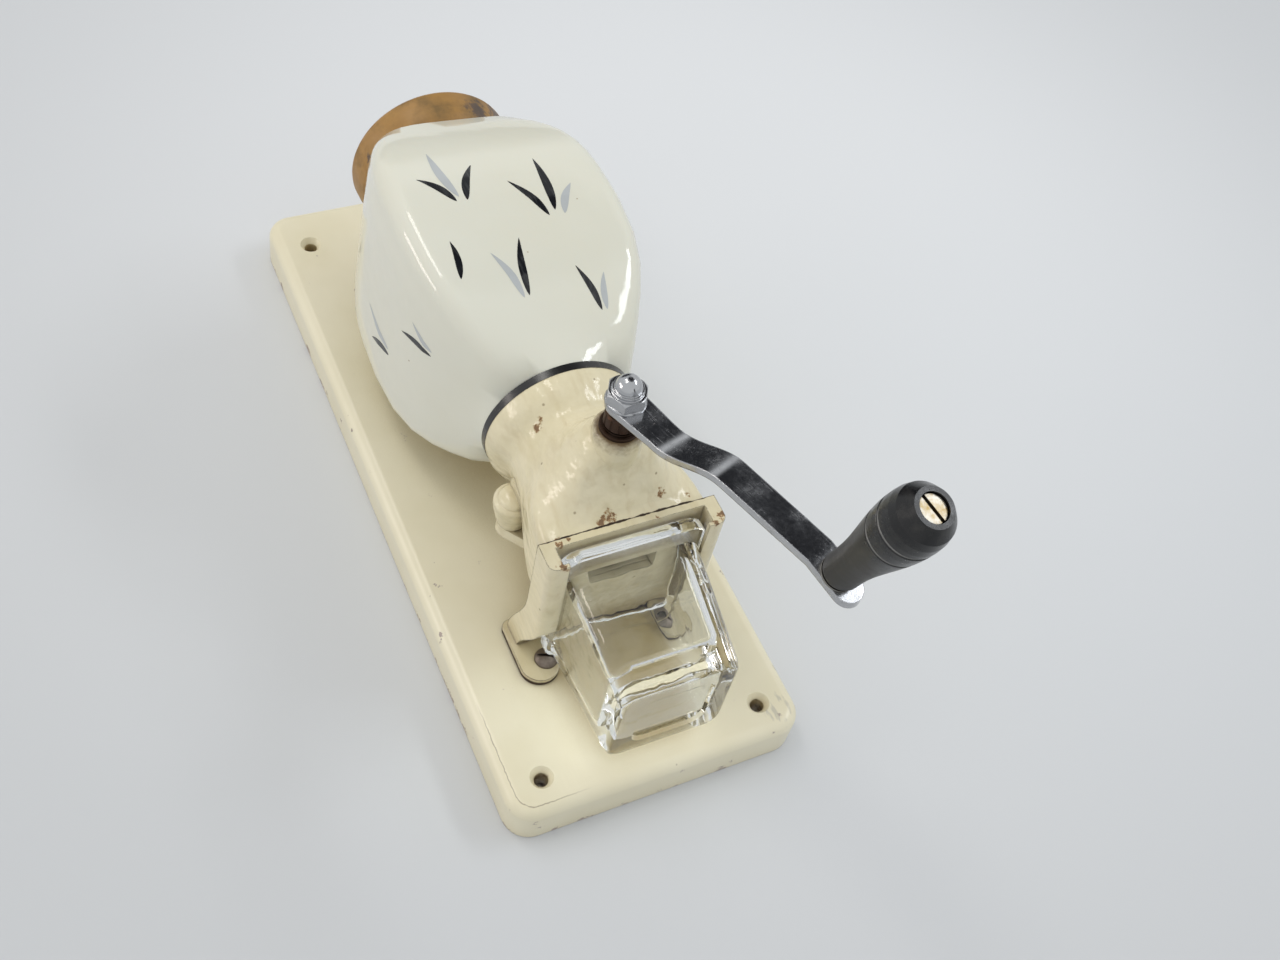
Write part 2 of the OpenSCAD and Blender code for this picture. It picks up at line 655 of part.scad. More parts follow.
module cap_nut() {
    d0 = bar_d + bar_t + washer_t;
    color("lightgray") difference() {
        union() {
            intersection() {
                translate([0, -d0, shaft_z]) rotate([90, 0, 0])
                    cylinder(r = nut_af / sqrt(3), h = nut_h, $fn = 6);
                turned([[0, d0], [7, d0], [7.6, d0 + 0.6], [7.6, d0 + nut_h - 1.2], [6.4, d0 + nut_h],
                    [0, d0 + nut_h]], 0, shaft_z);
            }
            rod(5.3, d0 + nut_h - 0.5, d0 + nut_h + 1.2, 0, shaft_z);
            turned(concat([[0, d0 + nut_h]], [for (a = [0:10:90])
                [dome_r * cos(a), d0 + nut_h + 1.2 + dome_r * sin(a)]]), 0, shaft_z);
        }
        rod(stud_r + seat_gap, d0 - 1, d0 + nut_h, 0, shaft_z);
    }
}

module grip_washer() {
    color("silver") at_grip() translate([0, 0, bar_t]) difference() {
        cylinder(r = 6, h = grip_washer_t);
        translate([0, 0, -1]) cylinder(r = spindle_r + seat_gap, h = 3);
    }
}

// Slotted screw through the grip, riveted over behind the bar
module grip_spindle() {
    head = bar_t + grip_washer_t + grip_len - 3.4;
    color("#b9b2a0") at_grip() difference() {
        union() {
            translate([0, 0, -0.9]) cylinder(r1 = spindle_r + 0.3, r2 = spindle_r + 1.3, h = 0.9);
            translate([0, 0, -0.5]) cylinder(r = spindle_r, h = head + 1);
            translate([0, 0, head]) cylinder(r = spindle_head_r, h = 2.2);
        }
        translate([-6, -0.6, head + 1.1]) cube([12, 1.2, 3]);
    }
}

// Grip: neck, swelling with two scribed rings, and a rounded end that hides the screw's head
module grip() {
    base = bar_t + grip_washer_t + slide_gap * 0.75;
    function body_r(s) = s < 0.78
        ? mix(grip_r * 0.62, grip_r, ease((s - 0.12) / 0.64))
        : grip_r * sqrt(max(0, 1 - pow((s - 0.78) / 0.27, 2.4)));
    rings = [0.61, 0.75];
    stations = [for (s = [0.03:0.055:0.96]) s];
    color("#16161a") at_grip() translate([0, 0, base]) difference() {
        rotate_extrude() polygon(concat(
            [[0, 0], [grip_r * 0.56, 0]],
            [for (s = stations) [body_r(s), s * grip_len]],
            [[spindle_head_r + 1.9, grip_len - 0.6], [0, grip_len - 0.6]]
        ));
        for (s = rings) translate([0, 0, s * grip_len]) rotate_extrude()
            translate([body_r(s) + 0.35, 0]) circle(r = 0.8);
        translate([0, 0, -1]) cylinder(r = spindle_r + run_gap, h = grip_len + 2);
        translate([0, 0, grip_len - 4.2]) cylinder(r = spindle_head_r + 0.3, h = 6);
    }
}

// Pressed glass cup: flange, body that leans in towards the bottom, thick floor with a recessed panel
module glass_cup() {
    top = cup_flange_z + cup_flange_t;
    function front(u) = mix(cup_front_d, cup_front_d - cup_draft, u);
    function half(u) = mix(cup_hw, cup_hw - 2.6, u);
    body_z = cup_flange_z;
    function z_at(u) = mix(body_z, cup_bottom_z, u);
    floor_z = cup_bottom_z + cup_floor;
    outside = [
        slab_ring(half(1) - 2, cup_back_d + 2, front(1) - 2, 4.4, cup_bottom_z),
        slab_ring(half(1) - 0.6, cup_back_d + 0.6, front(1) - 0.6, 5.4, cup_bottom_z + 0.7),
        slab_ring(half(0.93), cup_back_d, front(0.93), 6, z_at(0.93)),
        slab_ring(half(0), cup_back_d, front(0), 6, z_at(0)),
        slab_ring(cup_flange_hw - 0.5, cup_flange_back_d + 0.5, cup_flange_front_d - 0.5, 6.5, body_z),
        slab_ring(cup_flange_hw, cup_flange_back_d, cup_flange_front_d, 7, body_z + 0.6),
        slab_ring(cup_flange_hw, cup_flange_back_d, cup_flange_front_d, 7, top - 0.9),
        slab_ring(cup_flange_hw - 0.9, cup_flange_back_d + 0.9, cup_flange_front_d - 0.9, 6.4, top)
    ];
    // Ring of the inside, inset from the wall
    function inner_ring(u, inset, r, z) = let (off = cup_wall + inset)
        slab_ring(half(u) - off, cup_back_d + off, front(u) - off, r, z);
    inside = [
        inner_ring(0, -0.8, 5.4, top),
        inner_ring(0, 0, 5, top - 1),
        inner_ring(0.7, 0, 4.6, floor_z + 2.5),
        inner_ring(0.75, 1.6, 4, floor_z)
    ];
    panel_d = (cup_back_d + front(1)) / 2;
    color("lightcyan", 0.5) difference() {
        loft(concat(outside, inside));
        loft([
            slab_ring(14.5, panel_d - 14.5, panel_d + 14.5, 5, cup_bottom_z - 1),
            slab_ring(13.4, panel_d - 13.4, panel_d + 13.4, 5, cup_bottom_z + 1.3)
        ]);
    }
}

// Slotted round-head wood screw that holds a tab on the board
module foot_screw(x) {
    color("#4b3b2e") difference() {
        union() {
            rod(foot_screw_r, board_t - 11.5, tab_front_d + 0.5, x, foot_z_mid);
            turned(concat(
                [[0, tab_front_d]],
                [for (a = [0:15:90]) [foot_head_r * cos(a), tab_front_d + 2.6 * sin(a)]]
            ), x, foot_z_mid);
        }
        translate([x, -tab_front_d - 3, foot_z_mid]) rotate([0, 25, 0]) cube([10, 3.2, 1.1], center = true);
    }
}

module foot_screw_left() {
    foot_screw(-foot_x);
}

module foot_screw_right() {
    foot_screw(foot_x);
}

// Cheese-head screw from behind into the blind hole of an ear
module ear_screw(x) {
    color("gray") difference() {
        union() {
            rod(ear_screw_r, cover_back_d - 0.5, rear_d + ear_screw_depth - 0.6, x, ear_z);
            rod(4, cover_back_d - 3, cover_back_d, x, ear_z);
        }
        block(x - 5, x + 5, cover_back_d - 4, cover_back_d - 1.8, ear_z - 0.5, ear_z + 0.5);
    }
}

module ear_screw_left() {
    ear_screw(-ear_x);
}

module ear_screw_right() {
    ear_screw(ear_x);
}

// Machine screw from the back of the board into the rear cover's pillar
module upper_screw() {
    color("gray") difference() {
        union() {
            rod(upper_screw_r, 4, board_t + 18, 0, upper_screw_z);
            rod(upper_head_r, 1.2, upper_head_d, 0, upper_screw_z);
        }
        block(-7, 7, 0, 2.4, upper_screw_z - 0.6, upper_screw_z + 0.6);
    }
}

// Flat-head rivet that joins the carrier's roof to the casting's base
module rivet(x) {
    color("cornsilk") translate([x, -rivet_d, 0]) {
        translate([0, 0, groove_z - 0.7]) cylinder(r1 = rivet_r + 0.6, r2 = rivet_r + 1.4, h = 0.7);
        translate([0, 0, groove_z - 0.2]) cylinder(r = rivet_r, h = sheet_t + 5);
    }
}

module rivet_left() {
    rivet(-rivet_x);
}

module rivet_right() {
    rivet(rivet_x);
}

backboard();
housing();
rear_cover();
cup_carrier();
hopper();
foot_gasket();
hopper_strap();
hopper_bolt();
lid();
front_bush();
burr_ring();
burr_cone();
burr_pin();
shaft();
thrust_washer();
adjusting_collar();
crank_arm();
hub_washer();
cap_nut();
grip_washer();
grip_spindle();
grip();
glass_cup();
foot_screw_left();
foot_screw_right();
ear_screw_left();
ear_screw_right();
upper_screw();
rivet_left();
rivet_right();
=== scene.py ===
"""Finish of a wall-mounted hand mill: enamel, glaze, chrome and glass, worn as on an old kitchen piece."""
import math

import bmesh
import bpy
from mathutils import Matrix, Vector
from mathutils.bvhtree import BVHTree


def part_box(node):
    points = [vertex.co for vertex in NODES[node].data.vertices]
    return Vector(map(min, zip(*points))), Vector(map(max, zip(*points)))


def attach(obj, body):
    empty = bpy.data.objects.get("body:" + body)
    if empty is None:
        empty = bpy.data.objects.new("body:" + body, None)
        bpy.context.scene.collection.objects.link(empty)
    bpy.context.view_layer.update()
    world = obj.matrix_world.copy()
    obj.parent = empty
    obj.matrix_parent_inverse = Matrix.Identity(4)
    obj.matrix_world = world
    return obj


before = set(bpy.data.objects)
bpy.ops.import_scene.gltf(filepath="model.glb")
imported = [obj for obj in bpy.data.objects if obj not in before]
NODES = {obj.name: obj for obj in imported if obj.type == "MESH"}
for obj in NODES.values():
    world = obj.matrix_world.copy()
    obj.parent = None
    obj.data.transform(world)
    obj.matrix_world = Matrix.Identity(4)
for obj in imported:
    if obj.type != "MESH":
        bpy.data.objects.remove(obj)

bl_info = {
    "name": "Wall mill finish",
    "version": (1, 0, 0),
    "blender": (4, 5, 0),
    "location": "3D View > Sidebar > Wall mill",
    "description": "Finishes a wall-mounted hand mill and sets it on a pale studio sweep",
    "category": "Object",
}

MM = 0.001

# Places on the mill, in millimetres of the shared frame; the depths are measured from the board's back
BOARD_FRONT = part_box("backboard")[0].y / MM
BOARD_HALF_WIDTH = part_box("backboard")[1].x / MM
BOARD_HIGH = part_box("backboard")[1].z / MM
BOARD_MIDDLE = (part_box("backboard")[0].z / MM + BOARD_HIGH) / 2
BOARD_CORNER = 10.0
HOLE_X = 43.0
HOLE_Z = 132.0
SHAFT_Z = -65.0
NOSE_FRONT = -117.0
BAR_ANGLE = 70.0
HOPPER_DEPTH = 74.0
LID_DEPTH = 77.9
HOPPER_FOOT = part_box("hopper")[0].z / MM
CASTING_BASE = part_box("housing")[0].z / MM
# Grip, in metres: foot and direction of its spindle, length of the wood, and where the wood starts
GRIP_BASE = Vector((30.269, -135.887, -148.163)) * MM
GRIP_AXIS = Vector((0.099997, -0.9563048, -0.2747395))
GRIP_LENGTH = 54.0 * MM
GRIP_START = 3.9 * MM
# Scribed rings of the grip, as shares of its length
GRIP_RINGS = (0.61, 0.75)

# Camera of the photograph: where it stands, what it looks at, and how far it is rolled
CAMERA_PLACE = (-176.14, -498.69, -318.79)
CAMERA_TARGET = (50.98, 0.0, -15.62)
CAMERA_ROLL = -27.83
CAMERA_LENS = 42.4


def srgb(code):
    """Turns a six-digit sRGB hex value into linear red, green, blue and a full alpha."""
    parts = [int(code[i:i + 2], 16) / 255 for i in (0, 2, 4)]
    return (*(c / 12.92 if c <= 0.04045 else ((c + 0.055) / 1.055) ** 2.4 for c in parts), 1.0)


def add(tree, kind, inputs=None, **settings):
    """Adds one node with its settings. inputs maps a socket to a value, to an output, or to a node, which
    stands for its first output in use. A kind without the word Node is a shader node."""
    made = tree.nodes.new(kind if "Node" in kind else "ShaderNode" + kind)
    for name, value in settings.items():
        setattr(made, name, value)
    for socket, value in (inputs or {}).items():
        if isinstance(value, bpy.types.Node):
            value = next(output for output in value.outputs if output.enabled)
        if isinstance(value, bpy.types.NodeSocket):
            tree.links.new(value, made.inputs[socket])
        else:
            made.inputs[socket].default_value = value
    return made


def blank(name):
    """Starts a material: returns it, its node tree and the place on the object."""
    made = bpy.data.materials.new(name)
    made.use_nodes = True
    made.node_tree.nodes.clear()
    return made, made.node_tree, add(made.node_tree, "TexCoord").outputs["Object"]


def surface(tree, ground, coats, skin, relief=None, strength=0.0, depth=0.0, rounded=None):
    """Ends a material. The coats lie on the ground colour in order, each with its mask and its colour, as hex
    or as a node. skin holds the shader's other sockets, and relief is pressed into it, depth metres deep."""
    for mask, paint in coats:
        top = srgb(paint) if isinstance(paint, str) else paint
        ground = add(tree, "Mix", {"Factor": mask, "A": ground, "B": top}, data_type="RGBA")
    skin["Base Color"] = ground
    if relief is not None:
        pressed = {"Height": relief, "Strength": strength, "Distance": depth}
        if rounded is not None:
            pressed["Normal"] = rounded
        skin["Normal"] = add(tree, "Bump", pressed)
    add(tree, "OutputMaterial", {0: add(tree, "BsdfPrincipled", skin)})


def give(material, *names):
    """Gives a material to CAD nodes."""
    for name in names:
        slots = NODES[name].data.materials
        slots.clear()
        slots.append(material)


def colours(context):
    return context.scene.mill_colours


def wear(context):
    return context.scene.mill_wear


class MillColours(bpy.types.PropertyGroup):
    """Colours of the mill's finishes"""
    board_cream: bpy.props.FloatVectorProperty(
        name="Board enamel", description="Brushed cream enamel on the board",
        subtype="COLOR", size=4, min=0, max=1, default=srgb("E3DCC1"))
    cast_cream: bpy.props.FloatVectorProperty(
        name="Casting enamel", description="Stoved cream enamel on casting and carrier",
        subtype="COLOR", size=4, min=0, max=1, default=srgb("DED4B4"))
    glaze: bpy.props.FloatVectorProperty(
        name="Glaze", description="White glaze of the ceramic hopper",
        subtype="COLOR", size=4, min=0, max=1, default=srgb("DBDACB"))
    dark_leaf: bpy.props.FloatVectorProperty(
        name="Dark leaf", description="Dark colour of the painted leaves",
        subtype="COLOR", size=4, min=0, max=1, default=srgb("1A1B1E"))
    light_leaf: bpy.props.FloatVectorProperty(
        name="Light leaf", description="Light colour of the painted leaves",
        subtype="COLOR", size=4, min=0, max=1, default=srgb("B3B7B7"))
    lid_varnish: bpy.props.FloatVectorProperty(
        name="Lid varnish", description="Varnished wood of the lid",
        subtype="COLOR", size=4, min=0, max=1, default=srgb("9C7438"))
    sweep: bpy.props.FloatVectorProperty(
        name="Sweep", description="Paper that the mill lies on",
        subtype="COLOR", size=4, min=0, max=1, default=srgb("D9DBDC"))


class MillWear(bpy.types.PropertyGroup):
    """How worn the mill is, and how strong the painted shade in its corners"""
    chips: bpy.props.FloatProperty(
        name="Chips", description="Share of the board's edge where the enamel has chipped",
        subtype="FACTOR", min=0, max=1, default=0.2)
    # Strength of the brown grime and painted shade in the corners of casting and carrier, and of the painted
    # shade under the hopper on the board
    grime_and_shade: bpy.props.FloatProperty(
        name="Grime", description="Brown film in the corners of casting and carrier",
        subtype="FACTOR", min=0, max=1, default=0.6)
    # How far the grime and painted shade reach out of the casting's corners
    grime_and_shade_reach: bpy.props.FloatProperty(
        name="Grime reach", description="How far the film reaches out of a corner",
        unit="LENGTH", min=0.001, max=0.02, default=0.007)
    pits: bpy.props.FloatProperty(
        name="Pits", description="Share of the chrome that is pitted",
        subtype="FACTOR", min=0, max=1, default=0.35)


# Corners of facets that lie closer than this belong together
WELD = 0.002 * MM


def smooth_facets(name, angle):
    """Shades a faceted node as one rounded skin: welds its facets and keeps edges over the angle sharp."""
    tree = bpy.data.node_groups.new("Rounded skin of " + name, "GeometryNodeTree")
    tree.interface.new_socket(name="Geometry", in_out="INPUT", socket_type="NodeSocketGeometry")
    tree.interface.new_socket(name="Geometry", in_out="OUTPUT", socket_type="NodeSocketGeometry")
    start = add(tree, "NodeGroupInput")
    plain = add(tree, "GeometryNodeRemoveAttribute", {"Geometry": start, "Name": "custom_normal"})
    welded = add(tree, "GeometryNodeMergeByDistance", {"Geometry": plain, "Distance": WELD})
    faces = add(tree, "GeometryNodeSetShadeSmooth", {"Geometry": welded, "Shade Smooth": True})
    bend = add(tree, "GeometryNodeInputMeshEdgeAngle")
    below = add(tree, "FunctionNodeCompare", {0: bend.outputs["Unsigned Angle"], 1: math.radians(angle)},
                data_type="FLOAT", operation="LESS_THAN")
    edges = add(tree, "GeometryNodeSetShadeSmooth",
                {"Geometry": faces, "Shade Smooth": below}, domain="EDGE")
    add(tree, "NodeGroupOutput", {0: edges})
    NODES[name].modifiers.new("Rounded skin", "NODES").node_group = tree


def weigh_normals(name):
    """Keeps the large flat faces flat and bends the light only over the small rounded ones."""
    even = NODES[name].modifiers.new("Flat faces stay flat", "WEIGHTED_NORMAL")
    even.mode = "FACE_AREA"
    even.keep_sharp = True
    even.weight = 80


# Enamel, wood and ceramic

# Rust spots, as shares of their radius: how far their lobes reach, and where they begin and are full
SPOT_LOBES = 4.5
SPOT_EDGE = 3.15
SPOT_HEART = 2.6


def spot_mask(tree, where, spots, ragged=1.7):
    """Ragged marks: each spot is x, y, z and radius in millimetres, and ragged is the size of their lobes."""
    edge = add(tree, "TexNoise", {
        "Vector": where, "Scale": 1 / (ragged * MM), "Detail": 5.0, "Roughness": 0.7})
    total = None
    for x, y, z, radius in spots:
        reach = add(tree, "VectorMath", {0: where, 1: (x * MM, y * MM, z * MM)}, operation="DISTANCE")
        lobed = add(tree, "Math", {0: edge, 1: radius * SPOT_LOBES * MM, 2: reach}, operation="MULTIPLY_ADD")
        mark = add(tree, "MapRange", {
            "Value": lobed, "From Min": radius * SPOT_EDGE * MM, "From Max": radius * SPOT_HEART * MM},
            interpolation_type="SMOOTHSTEP")
        total = mark if total is None else add(tree, "Math", {0: total, 1: mark}, operation="MAXIMUM")
    return total


def specks(tree, where, apart, few, edge, heart, dark):
    """Round specks in cells that are apart metres wide. few is the share of cells left empty, edge and heart
    are radii as shares of a cell, where a speck begins and where it is full, and dark is how strong it is."""
    cells = add(tree, "TexVoronoi", {"Vector": where, "Scale": 1 / apart, "Randomness": 1.0})
    rare = add(tree, "Math", {0: cells.outputs["Color"], 1: few}, operation="GREATER_THAN")
    near = add(tree, "MapRange", {
        "Value": cells.outputs["Distance"], "From Min": edge, "From Max": heart, "To Max": dark})
    return add(tree, "Math", {0: near, 1: rare}, operation="MULTIPLY")


def dirt_and_shade_in_corners(tree, reach, deepest):
    """Mask of the dirt and painted shade that darken slots and corners; reach is how far it comes out of
    them, in metres.
    """
    shut = add(tree, "AmbientOcclusion", {"Distance": reach}, samples=6).outputs["AO"]
    return add(tree, "MapRange", {"Value": shut, "From Min": 0.85, "From Max": deepest, "To Max": 0.85})


# Middles of the slanting scrapes and of the hair crack on the board, in metres
SCRAPED_PLACE = (0.05, -0.018, -0.137)
CRACKED_PLACE = (-0.054, -0.018, -0.127)
# Knocks on each piece: x, y, z and radius in millimetres
BOARD_CHIPS = (
    (56.5, -15.0, -121.0, 1.6), (44.0, -15.5, -143.5, 1.0), (-57.0, -15.0, 33.0, 0.9),
    (48.5, -17.9, -139.0, 0.8))
CASTING_CHIPS = (
    (-6.4, -89.0, -80.6, 2.6), (-9.4, -89.0, -81.6, 1.6), (-4.6, -89.5, -79.8, 1.2),
    (-8.6, -90.5, -77.0, 1.1), (-26.0, -88.3, -83.0, 1.5), (13.8, -91.5, -77.9, 1.9),
    (24.0, -87.5, -80.0, 1.2), (-16.5, -92.5, -41.0, 1.8), (-14.5, -94.5, -39.0, 1.0),
    (-5.0, -98.0, -36.5, 1.2))
CARRIER_CHIPS = (
    (32.0, -88.0, -91.5, 2.6), (28.5, -88.0, -93.8, 1.8), (-27.5, -88.0, -93.5, 2.2),
    (-26.0, -88.5, -85.0, 1.4), (-22.0, -88.5, -84.0, 1.0), (10.0, -88.0, -85.5, 0.9))
LID_STAINS = ((24.0, -99.0, 103.0, 7.0), (16.0, -106.0, 102.0, 6.0), (-29.0, -92.0, 101.0, 2.0))


def inset_from_outline(tree, apart):
    """Distance from a point of the board to its outline as seen from the front, corners included."""
    past = []
    for along, middle, half in (("X", 0.0, BOARD_HALF_WIDTH), ("Z", BOARD_MIDDLE, BOARD_HIGH - BOARD_MIDDLE)):
        lift = add(tree, "Math", {0: apart.outputs[along], 1: middle * MM}, operation="SUBTRACT")
        far = add(tree, "Math", {0: lift}, operation="ABSOLUTE")
        off = add(tree, "Math", {0: far, 1: (half - BOARD_CORNER) * MM}, operation="SUBTRACT")
        past.append(add(tree, "Math", {0: off, 1: 0.0}, operation="MAXIMUM"))
    corner = add(tree, "CombineXYZ", {"X": past[0], "Z": past[1]})
    reach = add(tree, "VectorMath", {0: corner}, operation="LENGTH")
    return add(tree, "Math", {0: BOARD_CORNER * MM, 1: reach}, operation="SUBTRACT")


def brushed_enamel_on_beech(context):
    """Board: cream oil enamel brushed on beech. Satin gloss, faint runs along the grain, a hair crack, a few
    chips and scrapes along the edges, bare wood in the screw holes and on the back."""
    material, tree, where = blank("Brushed oil enamel on beech")
    apart = add(tree, "SeparateXYZ", {0: where})
    grime_and_shade = wear(context).grime_and_shade

    # Patches of 45 mm where the enamel has yellowed, and brush marks 2.4 mm apart along the board
    patches = add(tree, "TexNoise", {"Vector": where, "Scale": 1 / 0.045, "Detail": 3.0, "Roughness": 0.6})
    along = add(tree, "Mapping", {"Vector": where, "Scale": (1.0, 1.0, 0.06)})
    marks = add(tree, "TexNoise", {"Vector": along, "Scale": 1 / 0.0024, "Detail": 2.0})
    yellowed = add(tree, "MapRange", {"Value": patches, "From Min": 0.42, "From Max": 0.72, "To Max": 0.4})

    # Painted shade under the hopper and round the pieces that stand on the board, tinted brown as grease and
    # dust, and painted contact shade, dark, in the joints
    shut = add(tree, "AmbientOcclusion", {"Distance": 0.045}, samples=8).outputs["AO"]
    grime_and_painted_shade = add(tree, "MapRange", {"Value": shut, "From Min": 0.62, "From Max": 0.08, "To Max": grime_and_shade * 0.9})
    deepest_painted_shade = add(tree, "MapRange", {"Value": shut, "From Min": 0.52, "From Max": 0.12, "To Max": grime_and_shade * 0.8})
    # Painted contact shade: a dark line where the pieces meet the board, with the dirt that gathers there
    tight = add(tree, "AmbientOcclusion", {"Distance": 0.0018}, samples=6).outputs["AO"]
    gap = add(tree, "MapRange", {"Value": tight, "From Min": 0.62, "From Max": 0.4, "To Max": 0.85})

    # Chips of 2 to 6 mm on the front edge, and scuffs along the foot of the sides
    inset = inset_from_outline(tree, apart)
    flakes = add(tree, "TexNoise", {"Vector": where, "Scale": 1 / 0.009, "Detail": 7.0, "Roughness": 0.68})
    rim = add(tree, "MapRange", {"Value": inset, "From Min": 0.0045, "From Max": 0.0012})
    front = add(tree, "MapRange", {
        "Value": apart.outputs["Y"], "From Min": (BOARD_FRONT + 5.5) * MM,
        "From Max": (BOARD_FRONT + 2.0) * MM})
    exposed = add(tree, "Math", {0: rim, 1: front}, operation="MULTIPLY")
    knocked = add(tree, "Math", {
        0: exposed, 1: 0.25 * wear(context).chips, 2: flakes}, operation="MULTIPLY_ADD")
    chip = add(tree, "MapRange", {"Value": knocked, "From Min": 0.70, "From Max": 0.712})
    corner = spot_mask(tree, where, BOARD_CHIPS)
    low = add(tree, "MapRange", {
        "Value": apart.outputs["Y"], "From Min": -0.004, "From Max": -0.0005, "To Max": 0.11})
    scuffed = add(tree, "Math", {0: low, 1: flakes}, operation="ADD")
    scuff = add(tree, "MapRange", {"Value": scuffed, "From Min": 0.66, "From Max": 0.69})
    knocks = add(tree, "Math", {0: chip, 1: corner}, operation="MAXIMUM")
    bare_edge = add(tree, "Math", {0: knocks, 1: scuff}, operation="MAXIMUM")
    ground = add(tree, "Mix", {
        "Factor": flakes, "A": srgb("8E7F72"), "B": srgb("B7AAA0")}, data_type="RGBA")

    # Slanting scrapes at the lower right corner
    slant = add(tree, "Mapping", {
        "Vector": where, "Rotation": (0.0, math.radians(-72), 0.0), "Scale": (1.0, 1.0, 0.3)})
    scores = add(tree, "TexNoise", {"Vector": slant, "Scale": 1 / 0.0019, "Detail": 4.0})
    from_corner = add(tree, "VectorMath", {0: where, 1: SCRAPED_PLACE}, operation="DISTANCE")
    near_corner = add(tree, "MapRange", {
        "Value": from_corner, "From Min": 0.005, "From Max": 0.017, "To Min": 0.1, "To Max": -0.3})
    scored = add(tree, "Math", {0: scores, 1: near_corner}, operation="ADD")
    scrape = add(tree, "MapRange", {"Value": scored, "From Min": 0.64, "From Max": 0.76, "To Max": 0.45})

    # Hair crack 0.3 mm wide that follows the rounding at the lower left
    wander = add(tree, "Math", {0: flakes, 1: -0.0022, 2: inset}, operation="MULTIPLY_ADD")
    off_line = add(tree, "Math", {0: wander, 1: 0.0024}, operation="SUBTRACT")
    from_line = add(tree, "Math", {0: off_line}, operation="ABSOLUTE")
    line = add(tree, "MapRange", {"Value": from_line, "From Min": 0.00024, "From Max": 0.0001, "To Max": 0.7})
    place = add(tree, "VectorMath", {0: where, 1: CRACKED_PLACE}, operation="DISTANCE")
    reach = add(tree, "MapRange", {"Value": place, "From Min": 0.03, "From Max": 0.018})
    crack = add(tree, "Math", {0: line, 1: reach}, operation="MULTIPLY")

    # Bare wood in and around the screw holes, with painted shade deep inside them
    off = []
    for axis, place in (("X", HOLE_X), ("Z", HOLE_Z)):
        far = add(tree, "Math", {0: apart.outputs[axis]}, operation="ABSOLUTE")
        off.append(add(tree, "Math", {0: far, 1: place * MM}, operation="SUBTRACT"))
    hole = add(tree, "CombineXYZ", {"X": off[0], "Z": off[1]})
    from_hole = add(tree, "VectorMath", {0: hole}, operation="LENGTH")
    ragged = add(tree, "Math", {0: flakes, 1: -0.003, 2: from_hole}, operation="MULTIPLY_ADD")
    bare_hole = add(tree, "MapRange", {"Value": ragged, "From Min": 0.0011, "From Max": 0.0007})
    # Painted shade inside the bore: the wood turns dark brown towards the hole's middle
    deep = add(tree, "MapRange", {"Value": from_hole, "From Min": 0.0034, "From Max": 0.0026})
    grain = add(tree, "TexNoise", {"Vector": along, "Scale": 1 / 0.0011, "Detail": 4.0})
    wood = add(tree, "Mix", {"Factor": grain, "A": srgb("8A6C4A"), "B": srgb("BFA279")}, data_type="RGBA")
    hole_wood_and_painted_shade = add(tree, "Mix", {"Factor": deep, "A": wood, "B": srgb("5A4A3C")}, data_type="RGBA")

    # Back of the board: bare aged beech with a ragged border of enamel
    behind = add(tree, "MapRange", {"Value": apart.outputs["Y"], "From Min": -0.0006, "From Max": -0.0003})
    border = add(tree, "Math", {0: flakes, 1: 0.012, 2: inset}, operation="MULTIPLY_ADD")
    inner = add(tree, "MapRange", {"Value": border, "From Min": 0.0085, "From Max": 0.0095})
    bare_back = add(tree, "Math", {0: behind, 1: inner}, operation="MULTIPLY")

    # Specks of dirt 0.5 to 1.1 mm across
    speck = specks(tree, where, 0.013, 0.66, 0.042, 0.02, 0.75)
    open_wood = add(tree, "Math", {0: bare_hole, 1: bare_back}, operation="MAXIMUM")
    bare = add(tree, "Math", {0: bare_edge, 1: open_wood}, operation="MAXIMUM")
    rough = add(tree, "MapRange", {"Value": bare, "To Min": 0.3, "To Max": 0.8})
    relief = add(tree, "Math", {0: bare, 1: -2.4, 2: marks}, operation="MULTIPLY_ADD")
    cut = add(tree, "Math", {0: crack, 1: -2.0, 2: relief}, operation="MULTIPLY_ADD")
    # The two browns after the yellowing and the dark of the joints are painted shade; the other coats are the
    # board's own marks
    coats = (
        (yellowed, "D2C8A4"), (grime_and_painted_shade, "A48F5A"), (deepest_painted_shade, "987A3A"), (gap, "4B3722"), (crack, "8A7B68"),
        (scrape, "A3A096"), (bare_edge, ground), (bare_hole, hole_wood_and_painted_shade), (bare_back, wood), (speck, "8A7856"))
    surface(tree, colours(context).board_cream, coats, {"Roughness": rough, "IOR": 1.5}, cut, 0.3, 0.00012)
    return material


